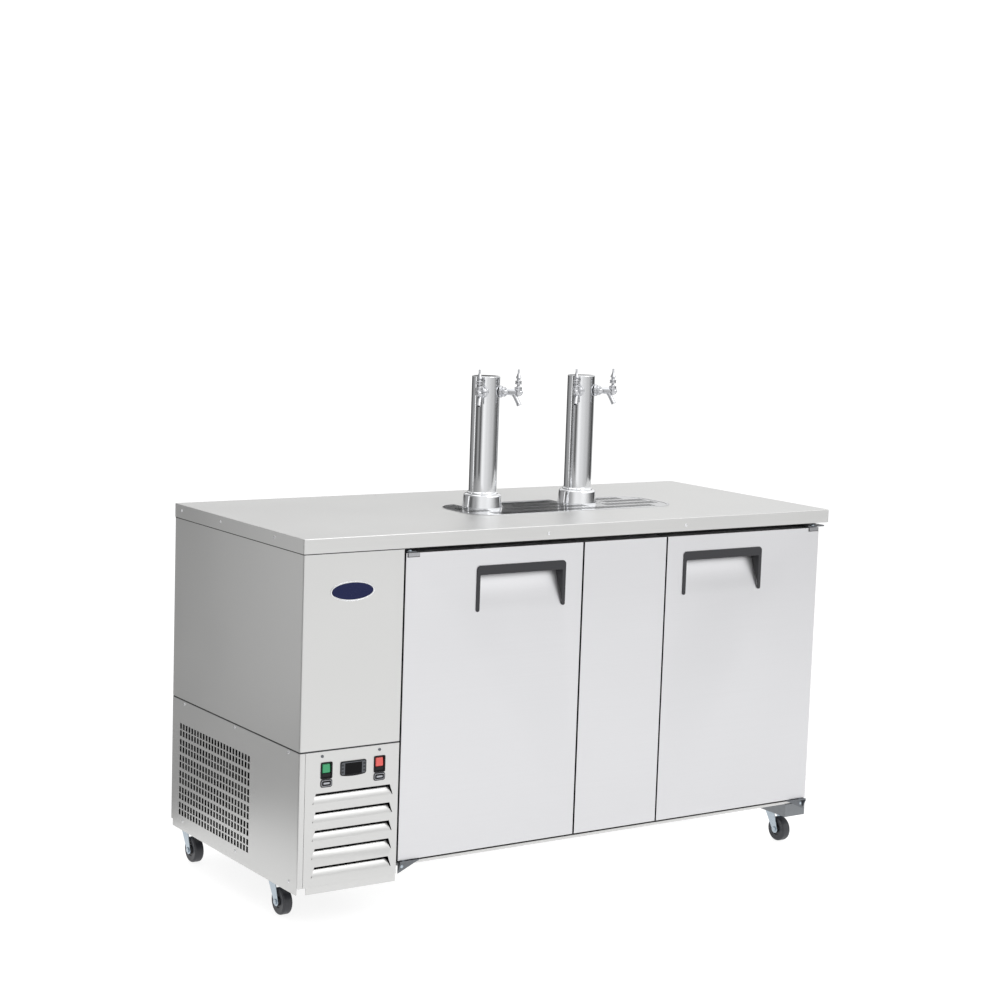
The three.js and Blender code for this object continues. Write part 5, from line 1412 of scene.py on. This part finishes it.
def make_stage():
    make_floor()
    make_world()
    softbox("key_softbox", (1.5, -4.5, 4.5), (0, 0, 0.6), 3.0, 3.0, 64)
    softbox("top_softbox", (0, 0.5, 4.5), (0, 0, 0.9), 4.0, 3.0, 30)
    softbox("side_strip", (-1.9, 1.15, 0.9), (-0.87, -0.3, 0.6), 0.3, 1.8, 1.8)
    bpy.ops.object.camera_add()
    camera = named("photo_camera")
    turn = Matrix((CAMERA_RIGHT, CAMERA_UP, CAMERA_BACK)).transposed().to_4x4()
    camera.matrix_world = Matrix.Translation(CAMERA_PLACE) @ turn
    camera.data.sensor_width = 36
    camera.data.lens = CAMERA_LENS
    camera.data.clip_end = 200
    scene = bpy.context.scene
    scene.camera = camera
    scene.view_settings.view_transform = "Standard"


# Operators and the panel


def operator(work, note):
    """An operator class for one group of pieces, named after the function that makes them."""
    word = work.__name__.removeprefix("make_")

    def execute(self, context):
        work()
        return {"FINISHED"}

    settings = {
        "bl_idname": f"cooler.{word}",
        "bl_label": word.replace("_", " ").capitalize(),
        "bl_options": {"REGISTER", "UNDO"},
        "__doc__": note,
        "execute": execute,
    }
    return type(f"COOLER_OT_{word}", (bpy.types.Operator,), settings)


STEPS = (
    operator(make_counter, "Folded counter with its well and line holes"),
    operator(make_drip_tray, "Drip tray and its slotted grate"),
    operator(make_bay_skins, "Skins of the machine bay"),
    operator(make_controls, "Switches, label plates and the controller"),
    operator(make_badge, "Blank oval badge"),
    operator(make_doors, "Doors with their gaskets and pulls, and the centre panel"),
    operator(make_hinges, "Hinge brackets and their pins"),
    operator(make_towers, "Beer towers"),
    operator(make_taps, "Taps on the towers"),
    operator(make_levers, "Tap levers"),
    operator(make_casters, "Swivel casters"),
    operator(make_base, "Base rails and floor panel"),
    operator(make_cabinet, "Finishes of the cabinet's walls"),
    operator(make_cooling, "Finishes of the coils, fans and compressor"),
    operator(make_screws, "Panel screws"),
    operator(make_stage, "Floor, light and camera"),
)


class COOLER_PT_pieces(bpy.types.Panel):
    """Lists the pieces of the cooler in the sidebar"""

    bl_label = "Beer cooler"
    bl_idname = "COOLER_PT_pieces"
    bl_space_type = "VIEW_3D"
    bl_region_type = "UI"
    bl_category = "Beer cooler"

    def draw(self, context):
        for step in STEPS:
            self.layout.operator(step.bl_idname)
        for group in (context.scene.cooler_sizes, context.scene.cooler_colours):
            for name in group.__annotations__:
                self.layout.prop(group, name)


CLASSES = (CoolerSizes, CoolerColours, *STEPS, COOLER_PT_pieces)


def register():
    for group in CLASSES:
        bpy.utils.register_class(group)
    bpy.types.Scene.cooler_sizes = bpy.props.PointerProperty(type=CoolerSizes)
    bpy.types.Scene.cooler_colours = bpy.props.PointerProperty(type=CoolerColours)


def unregister():
    del bpy.types.Scene.cooler_colours
    del bpy.types.Scene.cooler_sizes
    for group in reversed(CLASSES):
        bpy.utils.unregister_class(group)


def main():
    register()
    for step in STEPS:
        word = step.bl_idname.split(".")[1]
        getattr(bpy.ops.cooler, word)()


if __name__ == "__main__":
    main()
